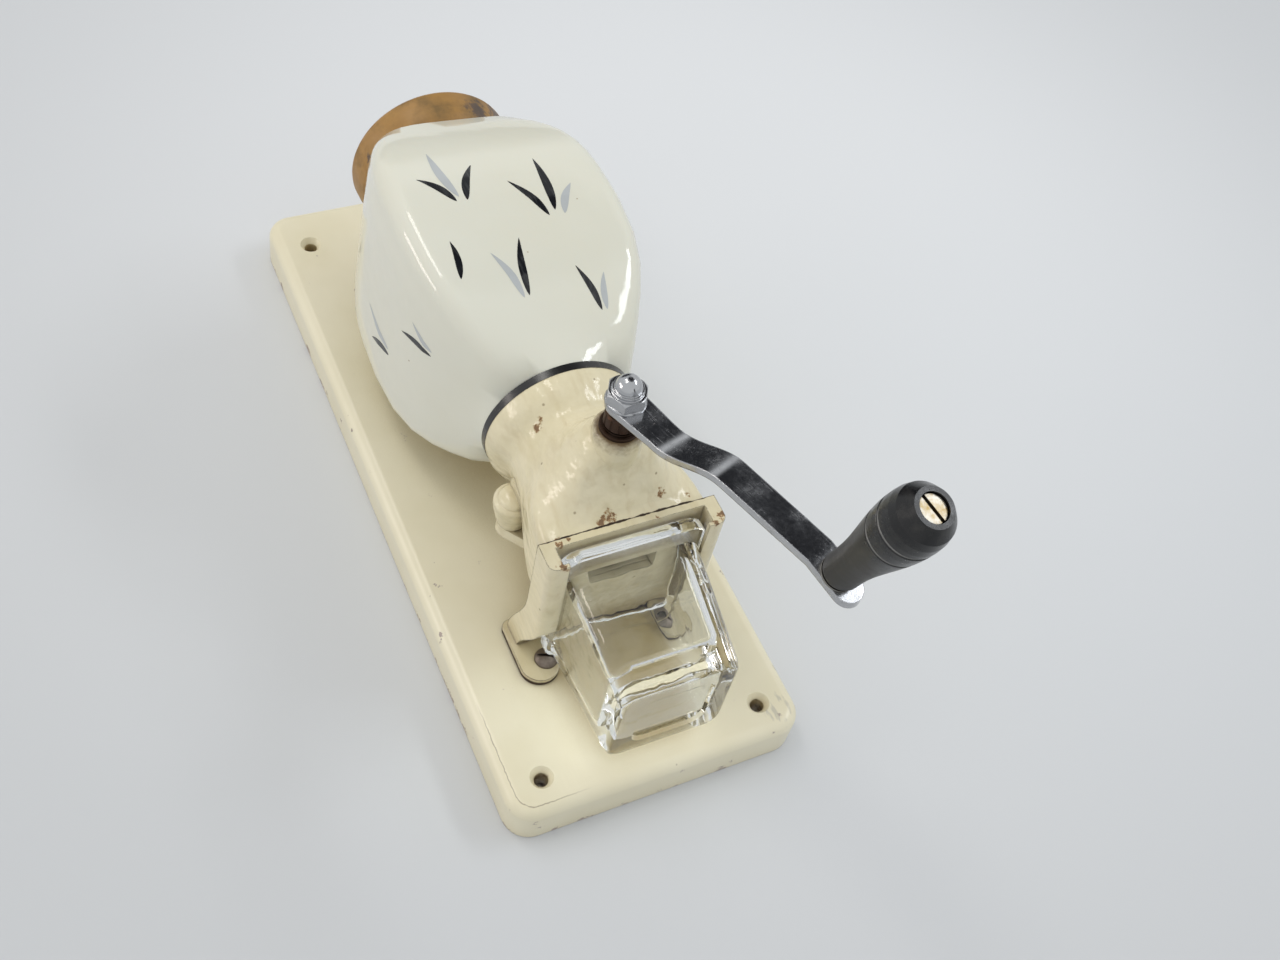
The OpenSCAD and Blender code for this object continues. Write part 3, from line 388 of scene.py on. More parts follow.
def stoved_enamel(context, name, spots, lumps, edge_wear, crease_dirt_and_shade_strength):
    """Stoving enamel on rough iron: a glossy coat, laid on thickly, with slow runs, brown grime with painted
    shade in the corners, grime round the shaft, rust that creeps out of the chips, and a black line where
    casting and carrier meet."""
    material, tree, where = blank(name)
    apart = add(tree, "SeparateXYZ", {0: where})
    grime_and_shade = wear(context).grime_and_shade
    patches = add(tree, "TexNoise", {"Vector": where, "Scale": 1 / 0.016, "Detail": 4.0, "Roughness": 0.6})
    yellowed = add(tree, "MapRange", {"Value": patches, "From Min": 0.42, "From Max": 0.68, "To Max": 0.55})
    # Brown grime with painted shade in the corners, from occlusion
    shut = add(tree, "AmbientOcclusion", {"Distance": wear(context).grime_and_shade_reach}, samples=8).outputs["AO"]
    frayed = add(tree, "TexNoise", {"Vector": where, "Scale": 1 / 0.004, "Detail": 6.0, "Roughness": 0.65})
    corner = add(tree, "Math", {0: frayed, 1: 0.4, 2: shut}, operation="MULTIPLY_ADD")
    grime_and_painted_shade = add(tree, "MapRange", {"Value": corner, "From Min": 0.98, "From Max": 0.4, "To Max": grime_and_shade})

    # Tea-brown streaks 2 mm wide that have run down, dust with painted shade near the board, and dirt with
    # painted shade in every crease
    fall = add(tree, "Mapping", {"Vector": where, "Scale": (1.0, 0.6, 0.14)})
    trails = add(tree, "TexNoise", {"Vector": fall, "Scale": 1 / 0.0032, "Detail": 4.0})
    trail = add(tree, "MapRange", {"Value": trails, "From Min": 0.5, "From Max": 0.78, "To Max": 0.24})
    board_dust_and_shade = add(tree, "MapRange", {
        "Value": apart.outputs["Y"], "From Min": (BOARD_FRONT - 16.0) * MM,
        "From Max": (BOARD_FRONT - 2.0) * MM, "To Max": grime_and_shade * 0.55})
    tight = add(tree, "AmbientOcclusion", {"Distance": 0.0016}, samples=6).outputs["AO"]
    crease_dirt_and_shade = add(tree, "MapRange", {"Value": tight, "From Min": 0.64, "From Max": 0.42, "To Max": crease_dirt_and_shade_strength})
    # Dirt 0.6 to 1.3 mm across that clings to the film
    speck = specks(tree, where, 0.0075, 0.6, 0.085, 0.04, 0.6)

    # Rust of the chips: a dark heart and an orange edge
    rust = spot_mask(tree, where, spots)
    heart = add(tree, "MapRange", {"Value": rust, "From Min": 0.6, "From Max": 1.0, "To Max": 0.8})
    iron = add(tree, "Mix", {"Factor": heart, "A": srgb("A57A44"), "B": srgb("5A3A20")}, data_type="RGBA")
    stain = add(tree, "MapRange", {"Value": rust, "From Min": 0.02, "From Max": 0.6, "To Max": 0.92})

    # Grease and rust in a ring round the shaft
    hub = add(tree, "VectorMath", {0: where, 1: (0.0, NOSE_FRONT * MM, SHAFT_Z * MM)}, operation="DISTANCE")
    oiled = add(tree, "Math", {0: frayed, 1: -0.0042, 2: hub}, operation="MULTIPLY_ADD")
    ring = add(tree, "MapRange", {"Value": oiled, "From Min": 0.0078, "From Max": 0.0052, "To Max": 0.85})

    # Black joint about 0.5 mm wide at the front of the casting's base, broken by chips
    lift = add(tree, "Math", {0: apart.outputs["Z"], 1: CASTING_BASE * MM}, operation="SUBTRACT")
    off = add(tree, "Math", {0: lift}, operation="ABSOLUTE")
    torn = add(tree, "Math", {0: frayed, 1: -0.0016, 2: off}, operation="MULTIPLY_ADD")
    joint = add(tree, "MapRange", {"Value": torn, "From Min": -0.0004, "From Max": -0.0006})
    ahead = add(tree, "MapRange", {"Value": apart.outputs["Y"], "From Min": -0.080, "From Max": -0.084})
    seam = add(tree, "Math", {0: joint, 1: ahead}, operation="MULTIPLY")

    # Worn edges: where the rounded normal leaves the real one and nothing stands near
    round_off = add(tree, "Bevel", {"Radius": 0.0009}, samples=6)
    normal = add(tree, "NewGeometry").outputs["Normal"]
    turn = add(tree, "VectorMath", {0: round_off, 1: normal}, operation="DOT_PRODUCT")
    worn = add(tree, "Math", {0: turn, 1: -1.6, 2: 1.6}, operation="MULTIPLY_ADD")
    on_tab = add(tree, "MapRange", {
        "Value": apart.outputs["Y"], "From Min": (BOARD_FRONT - 4.6) * MM,
        "From Max": (BOARD_FRONT - 3.4) * MM})
    thin = add(tree, "Math", {0: on_tab, 1: 0.35 * edge_wear, 2: worn}, operation="MULTIPLY_ADD")
    rubbed = add(tree, "Math", {0: thin, 1: frayed}, operation="ADD")
    bald = add(tree, "MapRange", {
        "Value": rubbed, "From Min": 0.9 - 0.2 * edge_wear, "From Max": 0.94 - 0.2 * edge_wear})
    free = add(tree, "MapRange", {
        "Value": shut, "From Min": 0.8, "From Max": 0.92, "To Max": 1.0 if edge_wear else 0.0})
    edge = add(tree, "Math", {0: bald, 1: free}, operation="MULTIPLY")
    # Rust under the rims of the two tabs that stand on the board
    under = add(tree, "Math", {0: frayed, 1: 0.0022, 2: apart.outputs["Y"]}, operation="MULTIPLY_ADD")
    rim = add(tree, "MapRange", {
        "Value": under, "From Min": (BOARD_FRONT - 0.8) * MM, "From Max": (BOARD_FRONT - 0.4) * MM,
        "To Max": 1.0 if edge_wear else 0.0})
    chipped = add(tree, "Math", {0: edge, 1: rim}, operation="MAXIMUM")
    black = add(tree, "Math", {0: chipped, 1: seam}, operation="MAXIMUM")

    bare = add(tree, "Math", {0: stain, 1: black}, operation="MAXIMUM")
    rough = add(tree, "MapRange", {"Value": bare, "To Min": 0.17, "To Max": 0.75})
    # Runs 7 mm wide down the casting, and a finer skin 2.5 mm wide
    down = add(tree, "Mapping", {"Vector": where, "Scale": (1.0, 1.0, 0.45)})
    runs = add(tree, "TexNoise", {"Vector": down, "Scale": 1 / 0.007, "Detail": 1.5})
    peel = add(tree, "TexNoise", {"Vector": where, "Scale": 1 / 0.0025, "Detail": 1.0})
    both = add(tree, "Math", {0: peel, 1: 0.14, 2: runs}, operation="MULTIPLY_ADD")
    relief = add(tree, "Math", {0: bare, 1: -0.12, 2: both}, operation="MULTIPLY_ADD")
    # The brown of the corners, the brown near the board and the dark of the creases are grime with painted
    # shade
    coats = (
        (yellowed, "D0C59E"), (grime_and_painted_shade, "84714A"), (trail, "A98F57"), (board_dust_and_shade, "94804E"), (crease_dirt_and_shade, "4B3821"),
        (speck, "6E5A38"), (stain, iron), (ring, "5A4024"), (black, "3A2A1C"))
    skin = {"Roughness": rough, "IOR": 1.52}
    surface(tree, colours(context).cast_cream, coats, skin, relief, lumps, 0.002, round_off)
    return material


def glazed_earthenware(context):
    """Hopper: white lead glaze on cast earthenware. A deep even gloss with a soft wave, and small brown
    pinholes where the glaze has crawled."""
    material, tree, where = blank("White glaze on earthenware")
    clouds = add(tree, "TexNoise", {"Vector": where, "Scale": 1 / 0.05, "Detail": 2.0})
    warm = add(tree, "MapRange", {"Value": clouds, "From Min": 0.4, "From Max": 0.7, "To Max": 0.35})
    # Pinholes 0.6 to 1 mm across, few and far apart
    hole = specks(tree, where, 0.014, 0.62, 0.036, 0.02, 1.0)
    wave = add(tree, "TexNoise", {"Vector": where, "Scale": 1 / 0.022, "Detail": 1.0})
    ripple = add(tree, "TexNoise", {"Vector": where, "Scale": 1 / 0.006, "Detail": 1.0})
    both = add(tree, "Math", {0: ripple, 1: 0.22, 2: wave}, operation="MULTIPLY_ADD")
    relief = add(tree, "Math", {0: hole, 1: -0.3, 2: both}, operation="MULTIPLY_ADD")
    skin = {"Roughness": 0.07, "IOR": 1.56, "Subsurface Weight": 0.06,
            "Subsurface Radius": (0.004, 0.003, 0.002), "Subsurface Scale": 1.0}
    coats = ((warm, "D6D3BF"), (hole, "8C7448"))
    surface(tree, colours(context).glaze, coats, skin, relief, 0.4, 0.0007)
    return material


def leaf_paint(name, colour):
    """Painted leaf under the glaze: brush colour with thin streaks, glossy as the hopper."""
    material, tree, where = blank(name)
    # Brush streaks 0.7 mm apart
    long = add(tree, "Mapping", {"Vector": where, "Scale": (1.0, 1.0, 0.15)})
    streak = add(tree, "TexNoise", {"Vector": long, "Scale": 1 / 0.0014, "Detail": 3.0})
    thin = add(tree, "MapRange", {"Value": streak, "From Min": 0.48, "From Max": 0.75, "To Max": 0.12})
    surface(tree, colour, [(thin, "9A9C9B")], {"Roughness": 0.09, "IOR": 1.56})
    return material


def varnished_maple(context):
    """Lid: turned maple under old brown varnish. Faint tool rings, long grain, darker blotches where the
    varnish has soiled, and a blue-black stain on one side."""
    material, tree, where = blank("Old varnish on turned maple")
    # The grain runs along X, with figures 2.5 mm wide
    along = add(tree, "Mapping", {"Vector": where, "Scale": (0.1, 1.0, 1.0)})
    grain = add(tree, "TexNoise", {
        "Vector": along, "Scale": 1 / 0.005, "Detail": 6.0, "Roughness": 0.6, "Distortion": 0.4})
    blotch = add(tree, "TexNoise", {"Vector": where, "Scale": 1 / 0.012, "Detail": 5.0, "Roughness": 0.62})
    dark = add(tree, "MapRange", {"Value": blotch, "From Min": 0.46, "From Max": 0.7, "To Max": 0.7})
    spilt = spot_mask(tree, where, LID_STAINS, 9.0)
    stain = add(tree, "Math", {0: spilt, 1: 0.7}, operation="MULTIPLY")
    # Tool rings 5.7 mm apart
    centred = add(tree, "Mapping", {"Vector": where, "Location": (0.0, LID_DEPTH * MM, 0.0)})
    rings = add(tree, "TexWave", {"Vector": centred, "Scale": 1 / 0.018, "Distortion": 0.3, "Detail": 1.0},
                wave_type="RINGS", rings_direction="Z")
    relief = add(tree, "Math", {0: rings.outputs["Fac"], 1: 0.35, 2: blotch}, operation="MULTIPLY_ADD")
    rough = add(tree, "MapRange", {
        "Value": blotch, "From Min": 0.3, "From Max": 0.75, "To Min": 0.36, "To Max": 0.62})
    coats = (
        (grain, "B98F4C"), (0.45, colours(context).lid_varnish), (dark, "64502C"), (stain, "2B2E3A"))
    surface(tree, srgb("7C5626"), coats, {"Roughness": rough, "IOR": 1.5}, relief, 0.35, 0.0004)
    return material


def moulded_phenolic_ring():
    """Ring under the hopper: black phenolic moulding, polished by handling, with fine scuffs."""
    material, tree, where = blank("Moulded black phenolic")
    scuff = add(tree, "TexNoise", {"Vector": where, "Scale": 1 / 0.003, "Detail": 5.0, "Roughness": 0.7})
    dust = add(tree, "MapRange", {"Value": scuff, "From Min": 0.52, "From Max": 0.8, "To Max": 0.5})
    rough = add(tree, "MapRange", {"Value": scuff, "To Min": 0.14, "To Max": 0.36})
    surface(tree, srgb("1B1A1A"), [(dust, "5A554C")], {"Roughness": rough, "IOR": 1.6})
    return material


# Metal, lacquer and glass

def pitted_chrome(name, pits):
    """Chromium plate on polished steel: a cool mirror with long hair scratches, dull patches of 1 to 3 mm
    where it has hazed, and dark pits where the steel rusts through."""
    material, tree, where = blank(name)
    # Pits 0.3 to 0.6 mm across in loose swarms
    swarm = add(tree, "TexNoise", {"Vector": where, "Scale": 1 / 0.014, "Detail": 2.0})
    fine = add(tree, "TexNoise", {"Vector": where, "Scale": 1 / 0.0009, "Detail": 2.0})
    both = add(tree, "Math", {0: swarm, 1: 0.9, 2: fine}, operation="MULTIPLY_ADD")
    edge = 1.3 - 0.22 * pits
    pit = add(tree, "MapRange", {"Value": both, "From Min": edge, "From Max": edge + 0.04, "To Max": 0.85})
    # Scratches 0.25 mm apart that run along the bar
    turned = add(tree, "Mapping", {"Vector": where, "Rotation": (0.0, math.radians(90 - BAR_ANGLE), 0.0)})
    drawn = add(tree, "Mapping", {"Vector": turned, "Scale": (1.0, 1.0, 0.035)})
    hair = add(tree, "TexNoise", {"Vector": drawn, "Scale": 1 / 0.0006, "Detail": 3.0})
    scratch = add(tree, "MapRange", {"Value": hair, "From Min": 0.6, "From Max": 0.75})
    worn = add(tree, "TexNoise", {"Vector": where, "Scale": 1 / 0.011, "Detail": 4.0, "Roughness": 0.6})
    haze = add(tree, "TexNoise", {"Vector": where, "Scale": 1 / 0.0012, "Detail": 5.0, "Roughness": 0.75})
    mixed = add(tree, "Math", {0: haze, 1: 0.6, 2: worn}, operation="MULTIPLY_ADD")
    matt = add(tree, "MapRange", {
        "Value": mixed, "From Min": 0.62, "From Max": 1.12, "To Min": 0.08, "To Max": 0.08 + 0.8 * pits})
    drawn_out = add(tree, "Math", {0: scratch, 1: 0.12, 2: matt}, operation="MULTIPLY_ADD")
    rough = add(tree, "Math", {0: pit, 1: 0.4, 2: drawn_out}, operation="MULTIPLY_ADD")
    cut = add(tree, "Math", {0: scratch, 1: -0.12, 2: swarm}, operation="MULTIPLY_ADD")
    relief = add(tree, "Math", {0: pit, 1: -0.4, 2: cut}, operation="MULTIPLY_ADD")
    round_off = add(tree, "Bevel", {"Radius": 0.0006}, samples=6)
    coats = ((worn, "B0B1B4"), (pit, "4A4038"))
    skin = {"Metallic": 1.0, "Roughness": rough}
    surface(tree, srgb("CBCCCE"), coats, skin, relief, 0.12, 0.0003, round_off)
    return material


def browned_steel(name, light, dark, rough_low):
    """Plain steel that has browned: dull and mottled."""
    material, tree, where = blank(name)
    mottle = add(tree, "TexNoise", {"Vector": where, "Scale": 1 / 0.0025, "Detail": 6.0, "Roughness": 0.65})
    metal = add(tree, "MapRange", {
        "Value": mottle, "From Min": 0.35, "From Max": 0.65, "To Min": 0.55, "To Max": 1.0})
    rough = add(tree, "MapRange", {
        "Value": mottle, "From Min": 0.3, "From Max": 0.7, "To Min": 0.68, "To Max": rough_low})
    # Dirt and painted shade in slots and corners
    dirt_and_shade = dirt_and_shade_in_corners(tree, 0.0014, 0.5)
    coats = ((mottle, light), (dirt_and_shade, "22190F"))
    surface(tree, srgb(dark), coats, {"Metallic": metal, "Roughness": rough}, mottle, 0.3, 0.0002)
    return material


def nickelled_brass():
    """Spindle of the grip: nickel plate worn to the brass on its head, dirt and painted shade in the slot."""
    material, tree, where = blank("Nickel plate worn to the brass")
    rubbed = add(tree, "TexNoise", {"Vector": where, "Scale": 1 / 0.004, "Detail": 6.0, "Roughness": 0.7})
    through = add(tree, "MapRange", {"Value": rubbed, "From Min": 0.42, "From Max": 0.6})
    # Dirt and painted shade in the slot
    dirt_and_shade = dirt_and_shade_in_corners(tree, 0.0015, 0.4)
    rough = add(tree, "MapRange", {"Value": rubbed, "To Min": 0.22, "To Max": 0.5})
    coats = ((through, "A08A5C"), (dirt_and_shade, "2A211A"))
    surface(tree, srgb("B4AFA4"), coats, {"Metallic": 1.0, "Roughness": rough}, rubbed, 0.2, 0.0002)
    return material


def lacquered_grip():
    """Grip: black lacquer on turned beech. Glossy on the swelling, greyed and scuffed on the neck, and two
    scribed rings that have filled with pale dust."""
    material, tree, where = blank("Black lacquer on turned beech")
    start = GRIP_BASE + GRIP_AXIS * GRIP_START
    offset = add(tree, "VectorMath", {0: where, 1: tuple(start)}, operation="SUBTRACT")
    along = add(tree, "VectorMath", {0: offset, 1: tuple(GRIP_AXIS)}, operation="DOT_PRODUCT")
    share = add(tree, "Math", {0: along, 1: GRIP_LENGTH}, operation="DIVIDE")
    scuff = add(tree, "TexNoise", {"Vector": where, "Scale": 1 / 0.006, "Detail": 7.0, "Roughness": 0.68})
    neck = add(tree, "MapRange", {
        "Value": share, "From Min": 0.62, "From Max": 0.4, "To Min": 0.05, "To Max": 0.34})
    grey = add(tree, "Math", {0: neck, 1: scuff}, operation="ADD")
    greyed = add(tree, "MapRange", {"Value": grey, "From Min": 0.55, "From Max": 1.05, "To Max": 0.55})
    coats = [(greyed, "4C4942")]
    for ring in GRIP_RINGS:
        gap = add(tree, "Math", {0: share, 1: ring}, operation="SUBTRACT")
        width = add(tree, "Math", {0: gap}, operation="ABSOLUTE")
        line = add(tree, "MapRange", {
            "Value": width, "From Min": 0.5 * MM / GRIP_LENGTH, "From Max": 0.25 * MM / GRIP_LENGTH,
            "To Max": 0.7})
        coats.append((line, "8F8E8A"))
    rough = add(tree, "MapRange", {
        "Value": grey, "From Min": 0.4, "From Max": 0.95, "To Min": 0.16, "To Max": 0.55})
    surface(tree, srgb("08080A"), coats, {"Roughness": rough, "IOR": 1.52}, scuff, 0.15, 0.0003)
    return material


def pressed_glass():
    """Cup: clear soda-lime glass pressed in a mould. Smooth faces with a slow wave left by the plunger; lamps
    shine through it."""
    material, tree, where = blank("Pressed soda-lime glass")
    wave = add(tree, "TexNoise", {"Vector": where, "Scale": 1 / 0.011, "Detail": 2.0, "Roughness": 0.4})
    bump = add(tree, "Bump", {"Height": wave, "Strength": 0.35, "Distance": 0.0009})
    glass = add(tree, "BsdfPrincipled", {
        "Base Color": srgb("FDFEFD"), "Roughness": 0.0, "IOR": 1.5, "Transmission Weight": 1.0,
        "Normal": bump})
    clear = add(tree, "BsdfTransparent", {"Color": srgb("FBFCFB")})
    # Light that has bounced five times goes straight on, so that the thick edges stay bright
    ray = add(tree, "LightPath")
    long = add(tree, "Math", {0: ray.outputs["Ray Depth"], 1: 4.5}, operation="GREATER_THAN")
    straight = add(tree, "Math", {0: ray.outputs["Is Shadow Ray"], 1: long}, operation="MAXIMUM")
    seen = add(tree, "MixShader", {0: straight, 1: glass, 2: clear})
    add(tree, "OutputMaterial", {0: seen})
    return material


# Leaves painted on the hopper

# Each leaf: face of the hopper, foot across and up in millimetres, direction in degrees from upright,
# length, widest width, bend, and whether it is dark
LEAVES = (
    ("front", -17.0, 66.0, -38.0, 17.0, 3.0, 1.4, True),
    ("front", -15.5, 68.0, -8.0, 25.0, 3.4, -1.0, False),
    ("front", -13.0, 66.0, 24.0, 19.0, 3.0, -1.2, True),
    ("front", 14.0, 54.0, -26.0, 21.0, 3.0, 1.2, True),
    ("front", 17.0, 56.0, 4.0, 27.0, 3.4, 1.0, True),
    ("front", 20.0, 54.0, 30.0, 16.0, 3.0, -1.0, False),
    ("front", -7.0, 24.0, -20.0, 19.0, 2.8, 1.0, False),
    ("front", -5.0, 24.5, 10.0, 22.0, 2.8, -0.9, True),
    ("front", 20.0, 16.0, -16.0, 17.0, 2.6, 0.8, True),
    ("front", 22.0, 16.0, 14.0, 13.0, 2.4, -0.7, False),
    ("front", -27.0, 34.0, 4.0, 15.0, 2.4, 0.8, True),
    ("left", -10.0, 52.0, -22.0, 17.0, 2.6, 1.0, True),
    ("left", -8.0, 53.0, 8.0, 22.0, 2.8, -0.9, False),
    ("left", 14.0, 28.0, -12.0, 18.0, 2.5, 0.8, True),
    ("left", 16.0, 28.0, 18.0, 13.0, 2.3, -0.7, False),
    ("right", -12.0, 50.0, -20.0, 19.0, 2.7, 1.0, True),
    ("right", -10.0, 51.0, 8.0, 23.0, 2.9, -0.9, False),
    ("right", 13.0, 26.0, -10.0, 18.0, 2.5, 0.8, True),
    ("right", 15.0, 26.0, 20.0, 13.0, 2.2, -0.7, True),
)
# Directions of each face as one looks at it: across to the right, and into the hopper
FACE_LOOK = {
    "front": ((1, 0, 0), (0, 1, 0)),
    "left": ((0, -1, 0), (1, 0, 0)),
    "right": ((0, 1, 0), (-1, 0, 0)),
}
# Quads of a leaf along its length, points across it, and its height over the glaze in metres
LEAF_STEPS = 26
LEAF_LANES = 7
LEAF_PROUD = 0.05 * MM
# A ray towards the hopper starts this far out, in metres
RAY_START = 0.12


def hopper_skin():
    """Search tree of the hopper's facets."""
    data = NODES["hopper"].data
    return BVHTree.FromPolygons([v.co for v in data.vertices], [p.vertices for p in data.polygons])


def paint_leaf(skin, name, leaf, material):
    """Lays one slim leaf on the hopper, just proud of the glaze."""
    face, across, up, lean, length, width, bend = leaf[:-1]
    sideways, inward = (Vector(way) for way in FACE_LOOK[face])
    axis = Vector((0.0, -HOPPER_DEPTH * MM, 0.0))
    angle = math.radians(lean)
    mesh = bmesh.new()
    rows = []
    for i in range(LEAF_STEPS + 1):
        t = i / LEAF_STEPS
        half = 0.5 * width * (math.sin(math.pi * t ** 0.8) ** 0.85 if 0 < t < 1 else 0.0)
        row = []
        for k in range(LEAF_LANES):
            u = length * t
            w = (2 * k / (LEAF_LANES - 1) - 1) * half + bend * math.sin(math.pi * t)
            x = across + u * math.sin(angle) + w * math.cos(angle)
            z = up + u * math.cos(angle) - w * math.sin(angle)
            start = axis + sideways * (x * MM) - inward * RAY_START + Vector((0, 0, (HOPPER_FOOT + z) * MM))
            hit = skin.ray_cast(start, inward)[0]
            if hit is None:
                raise RuntimeError("a leaf misses the hopper: " + name)
            row.append(mesh.verts.new(hit - inward * LEAF_PROUD))
        rows.append(row)
    for a, b in zip(rows, rows[1:]):
        for k in range(LEAF_LANES - 1):
            mesh.faces.new((a[k], a[k + 1], b[k + 1], b[k]))
    bmesh.ops.remove_doubles(mesh, verts=mesh.verts[:], dist=0.00001)
    for quad in mesh.faces:
        quad.smooth = True
    bmesh.ops.recalc_face_normals(mesh, faces=mesh.faces[:])
    if sum((quad.normal for quad in mesh.faces), Vector()).dot(inward) > 0:
        bmesh.ops.reverse_faces(mesh, faces=mesh.faces[:])
    data = bpy.data.meshes.new(name)
    mesh.to_mesh(data)
    mesh.free()
    piece = bpy.data.objects.new(name, data)
    bpy.context.scene.collection.objects.link(piece)
    data.materials.append(material)
    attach(piece, "board_and_casting")


class MILL_OT_finish_board(bpy.types.Operator):
    """Paint the board"""
    bl_idname = "mill.finish_board"
    bl_label = "Board"

    def execute(self, context):
        give(brushed_enamel_on_beech(context), "backboard")
        smooth_facets("backboard", angle=35.0)
        weigh_normals("backboard")
        return {"FINISHED"}


class MILL_OT_finish_casting(bpy.types.Operator):
    """Enamel the casting, its rear cover and the two ear screws"""
    bl_idname = "mill.finish_casting"
    bl_label = "Casting"

    def execute(self, context):
        enamel = stoved_enamel(context, "Stoved enamel on cast iron", CASTING_CHIPS, 0.62, 0.0, 0.45)
        give(enamel, "housing", "rear_cover", "ear_screw_left", "ear_screw_right")
        smooth_facets("housing", angle=40.0)
        weigh_normals("housing")
        smooth_facets("rear_cover", angle=20.0)
        return {"FINISHED"}


class MILL_OT_finish_carrier(bpy.types.Operator):
    """Enamel the cup's carrier and its rivets"""
    bl_idname = "mill.finish_carrier"
    bl_label = "Cup carrier"

    def execute(self, context):
        enamel = stoved_enamel(context, "Stoved enamel on pressed steel", CARRIER_CHIPS, 0.3, 0.5, 0.85)
        give(enamel, "cup_carrier", "rivet_left", "rivet_right")
        smooth_facets("cup_carrier", angle=24.0)
        weigh_normals("cup_carrier")
        return {"FINISHED"}


class MILL_OT_finish_hopper(bpy.types.Operator):
    """Glaze the hopper, paint its leaves and finish the ring under it"""
    bl_idname = "mill.finish_hopper"
    bl_label = "Hopper"

    def execute(self, context):
        give(glazed_earthenware(context), "hopper")
        give(moulded_phenolic_ring(), "foot_gasket")
        smooth_facets("hopper", angle=50.0)
        skin = hopper_skin()
        dark = leaf_paint("Dark leaf paint under glaze", colours(context).dark_leaf)
        light = leaf_paint("Light leaf paint under glaze", colours(context).light_leaf)
        for i, leaf in enumerate(LEAVES):
            paint_leaf(skin, "painted_leaf_%02d" % (i + 1), leaf, dark if leaf[-1] else light)
        return {"FINISHED"}


class MILL_OT_finish_lid(bpy.types.Operator):
    """Varnish the lid"""
    bl_idname = "mill.finish_lid"
    bl_label = "Lid"

    def execute(self, context):
        give(varnished_maple(context), "lid")
        return {"FINISHED"}


class MILL_OT_finish_crank(bpy.types.Operator):
    """Plate the crank, its washer and its nut"""
    bl_idname = "mill.finish_crank"
    bl_label = "Crank"

    def execute(self, context):
        give(pitted_chrome("Pitted chromium plate", wear(context).pits), "crank_arm")
        give(pitted_chrome("Bright chromium plate", wear(context).pits * 0.3), "cap_nut", "hub_washer")
        smooth_facets("crank_arm", angle=25.0)
        weigh_normals("crank_arm")
        return {"FINISHED"}


class MILL_OT_finish_grip(bpy.types.Operator):
    """Lacquer the grip and finish its spindle and washer"""
    bl_idname = "mill.finish_grip"
    bl_label = "Grip"

    def execute(self, context):
        give(lacquered_grip(), "grip")
        give(nickelled_brass(), "grip_spindle")
        give(browned_steel("Dull zinc plate", "A4A29C", "6C6963", 0.38), "grip_washer")
        return {"FINISHED"}


class MILL_OT_finish_works(bpy.types.Operator):
    """Finish shaft, burrs, bush, collar, strap and screws"""
    bl_idname = "mill.finish_works"
    bl_label = "Works and screws"

    def execute(self, context):
        give(browned_steel("Steel browned by rust", "5A4436", "2B1F18", 0.45),
             "adjusting_collar", "front_bush", "thrust_washer")
        give(browned_steel("Screw steel browned, with painted shade in its slot", "A0958A", "4A3A2E", 0.3),
             "foot_screw_left", "foot_screw_right")
        give(browned_steel("Ground steel", "9C9B98", "6F6D6A", 0.3), "shaft", "burr_pin", "upper_screw")
        give(browned_steel("Hardened grey iron", "6B6B6D", "3E3E40", 0.5), "burr_ring", "burr_cone")
        give(browned_steel("Zinc plated steel", "ADABA3", "77756E", 0.34), "hopper_strap", "hopper_bolt")
        return {"FINISHED"}


class MILL_OT_finish_cup(bpy.types.Operator):
    """Make the cup of pressed glass"""
    bl_idname = "mill.finish_cup"
    bl_label = "Glass cup"

    def execute(self, context):
        give(pressed_glass(), "glass_cup")
        smooth_facets("glass_cup", angle=50.0)
        weigh_normals("glass_cup")
        return {"FINISHED"}


class MILL_OT_stage(bpy.types.Operator):
    """Set the sweep, the soft lamps and the camera"""
    bl_idname = "mill.stage"
    bl_label = "Stage"

    def execute(self, context):
        lay_sweep(context)
        set_world(context)
        for lamp in LAMPS:
            hang_lamp(context, *lamp)
        set_camera(context)
        context.scene.view_settings.view_transform = "Standard"
        return {"FINISHED"}


# Each strip softbox: name, place in millimetres, width and height in millimetres, watts, colour
LAMPS = (
    ("strip_above", (-620, -2300, 900), 480, 1500, 11.0, "FFFBF5"),
    ("strip_left", (-2260, -760, 760), 420, 1500, 10.0, "FFF4EC"),
    ("strip_right", (1750, -1750, -250), 320, 1300, 10.5, "F6FAFF"),
)
LAMP_AIM = Vector((0.0, -0.05, -0.03))
# Directions of the tent's two dark openings, which the crank's flat faces and its bend mirror
OPENINGS = (Vector((0.33, -0.86, 0.37)), Vector((0.17, -0.1, 0.98)))
# Middle of the pool of light painted on the paper, where it is lightest, in metres
SWEEP_PAINTED_LIGHT = (0.15, 0.0, 0.1)
# The sweep, in millimetres: how far it reaches, how far it lies under the board, and how far it runs in under
# the board's outline
SWEEP_REACH = 6000
SWEEP_GAP = 0.3
SWEEP_INSET = 0.3
SWEEP_STEPS = 8


def sweep_paper(context):
    """Matt background paper with a painted pool of light, white in the middle and greying outwards; it lets
    the camera see through it from behind.
    """
    material, tree, where = blank("Matt background paper")
    # Painted light: the paper greys with distance from the lit middle
    reach = add(tree, "VectorMath", {0: where, 1: SWEEP_PAINTED_LIGHT}, operation="DISTANCE")
    painted_falloff = add(tree, "MapRange", {
        "Value": reach, "From Min": 0.1, "From Max": 0.46}, interpolation_type="SMOOTHSTEP")
    paper_with_painted_falloff = add(tree, "Mix", {
        "Factor": painted_falloff, "A": colours(context).sweep, "B": srgb("C4C6C7")}, data_type="RGBA")
    paper = add(tree, "BsdfPrincipled", {
        "Base Color": paper_with_painted_falloff, "Roughness": 0.9, "IOR": 1.45, "Specular IOR Level": 0.2})
    through = add(tree, "BsdfTransparent")
    behind = add(tree, "NewGeometry").outputs["Backfacing"]
    add(tree, "OutputMaterial", {0: add(tree, "MixShader", {0: behind, 1: paper, 2: through})})
    return material


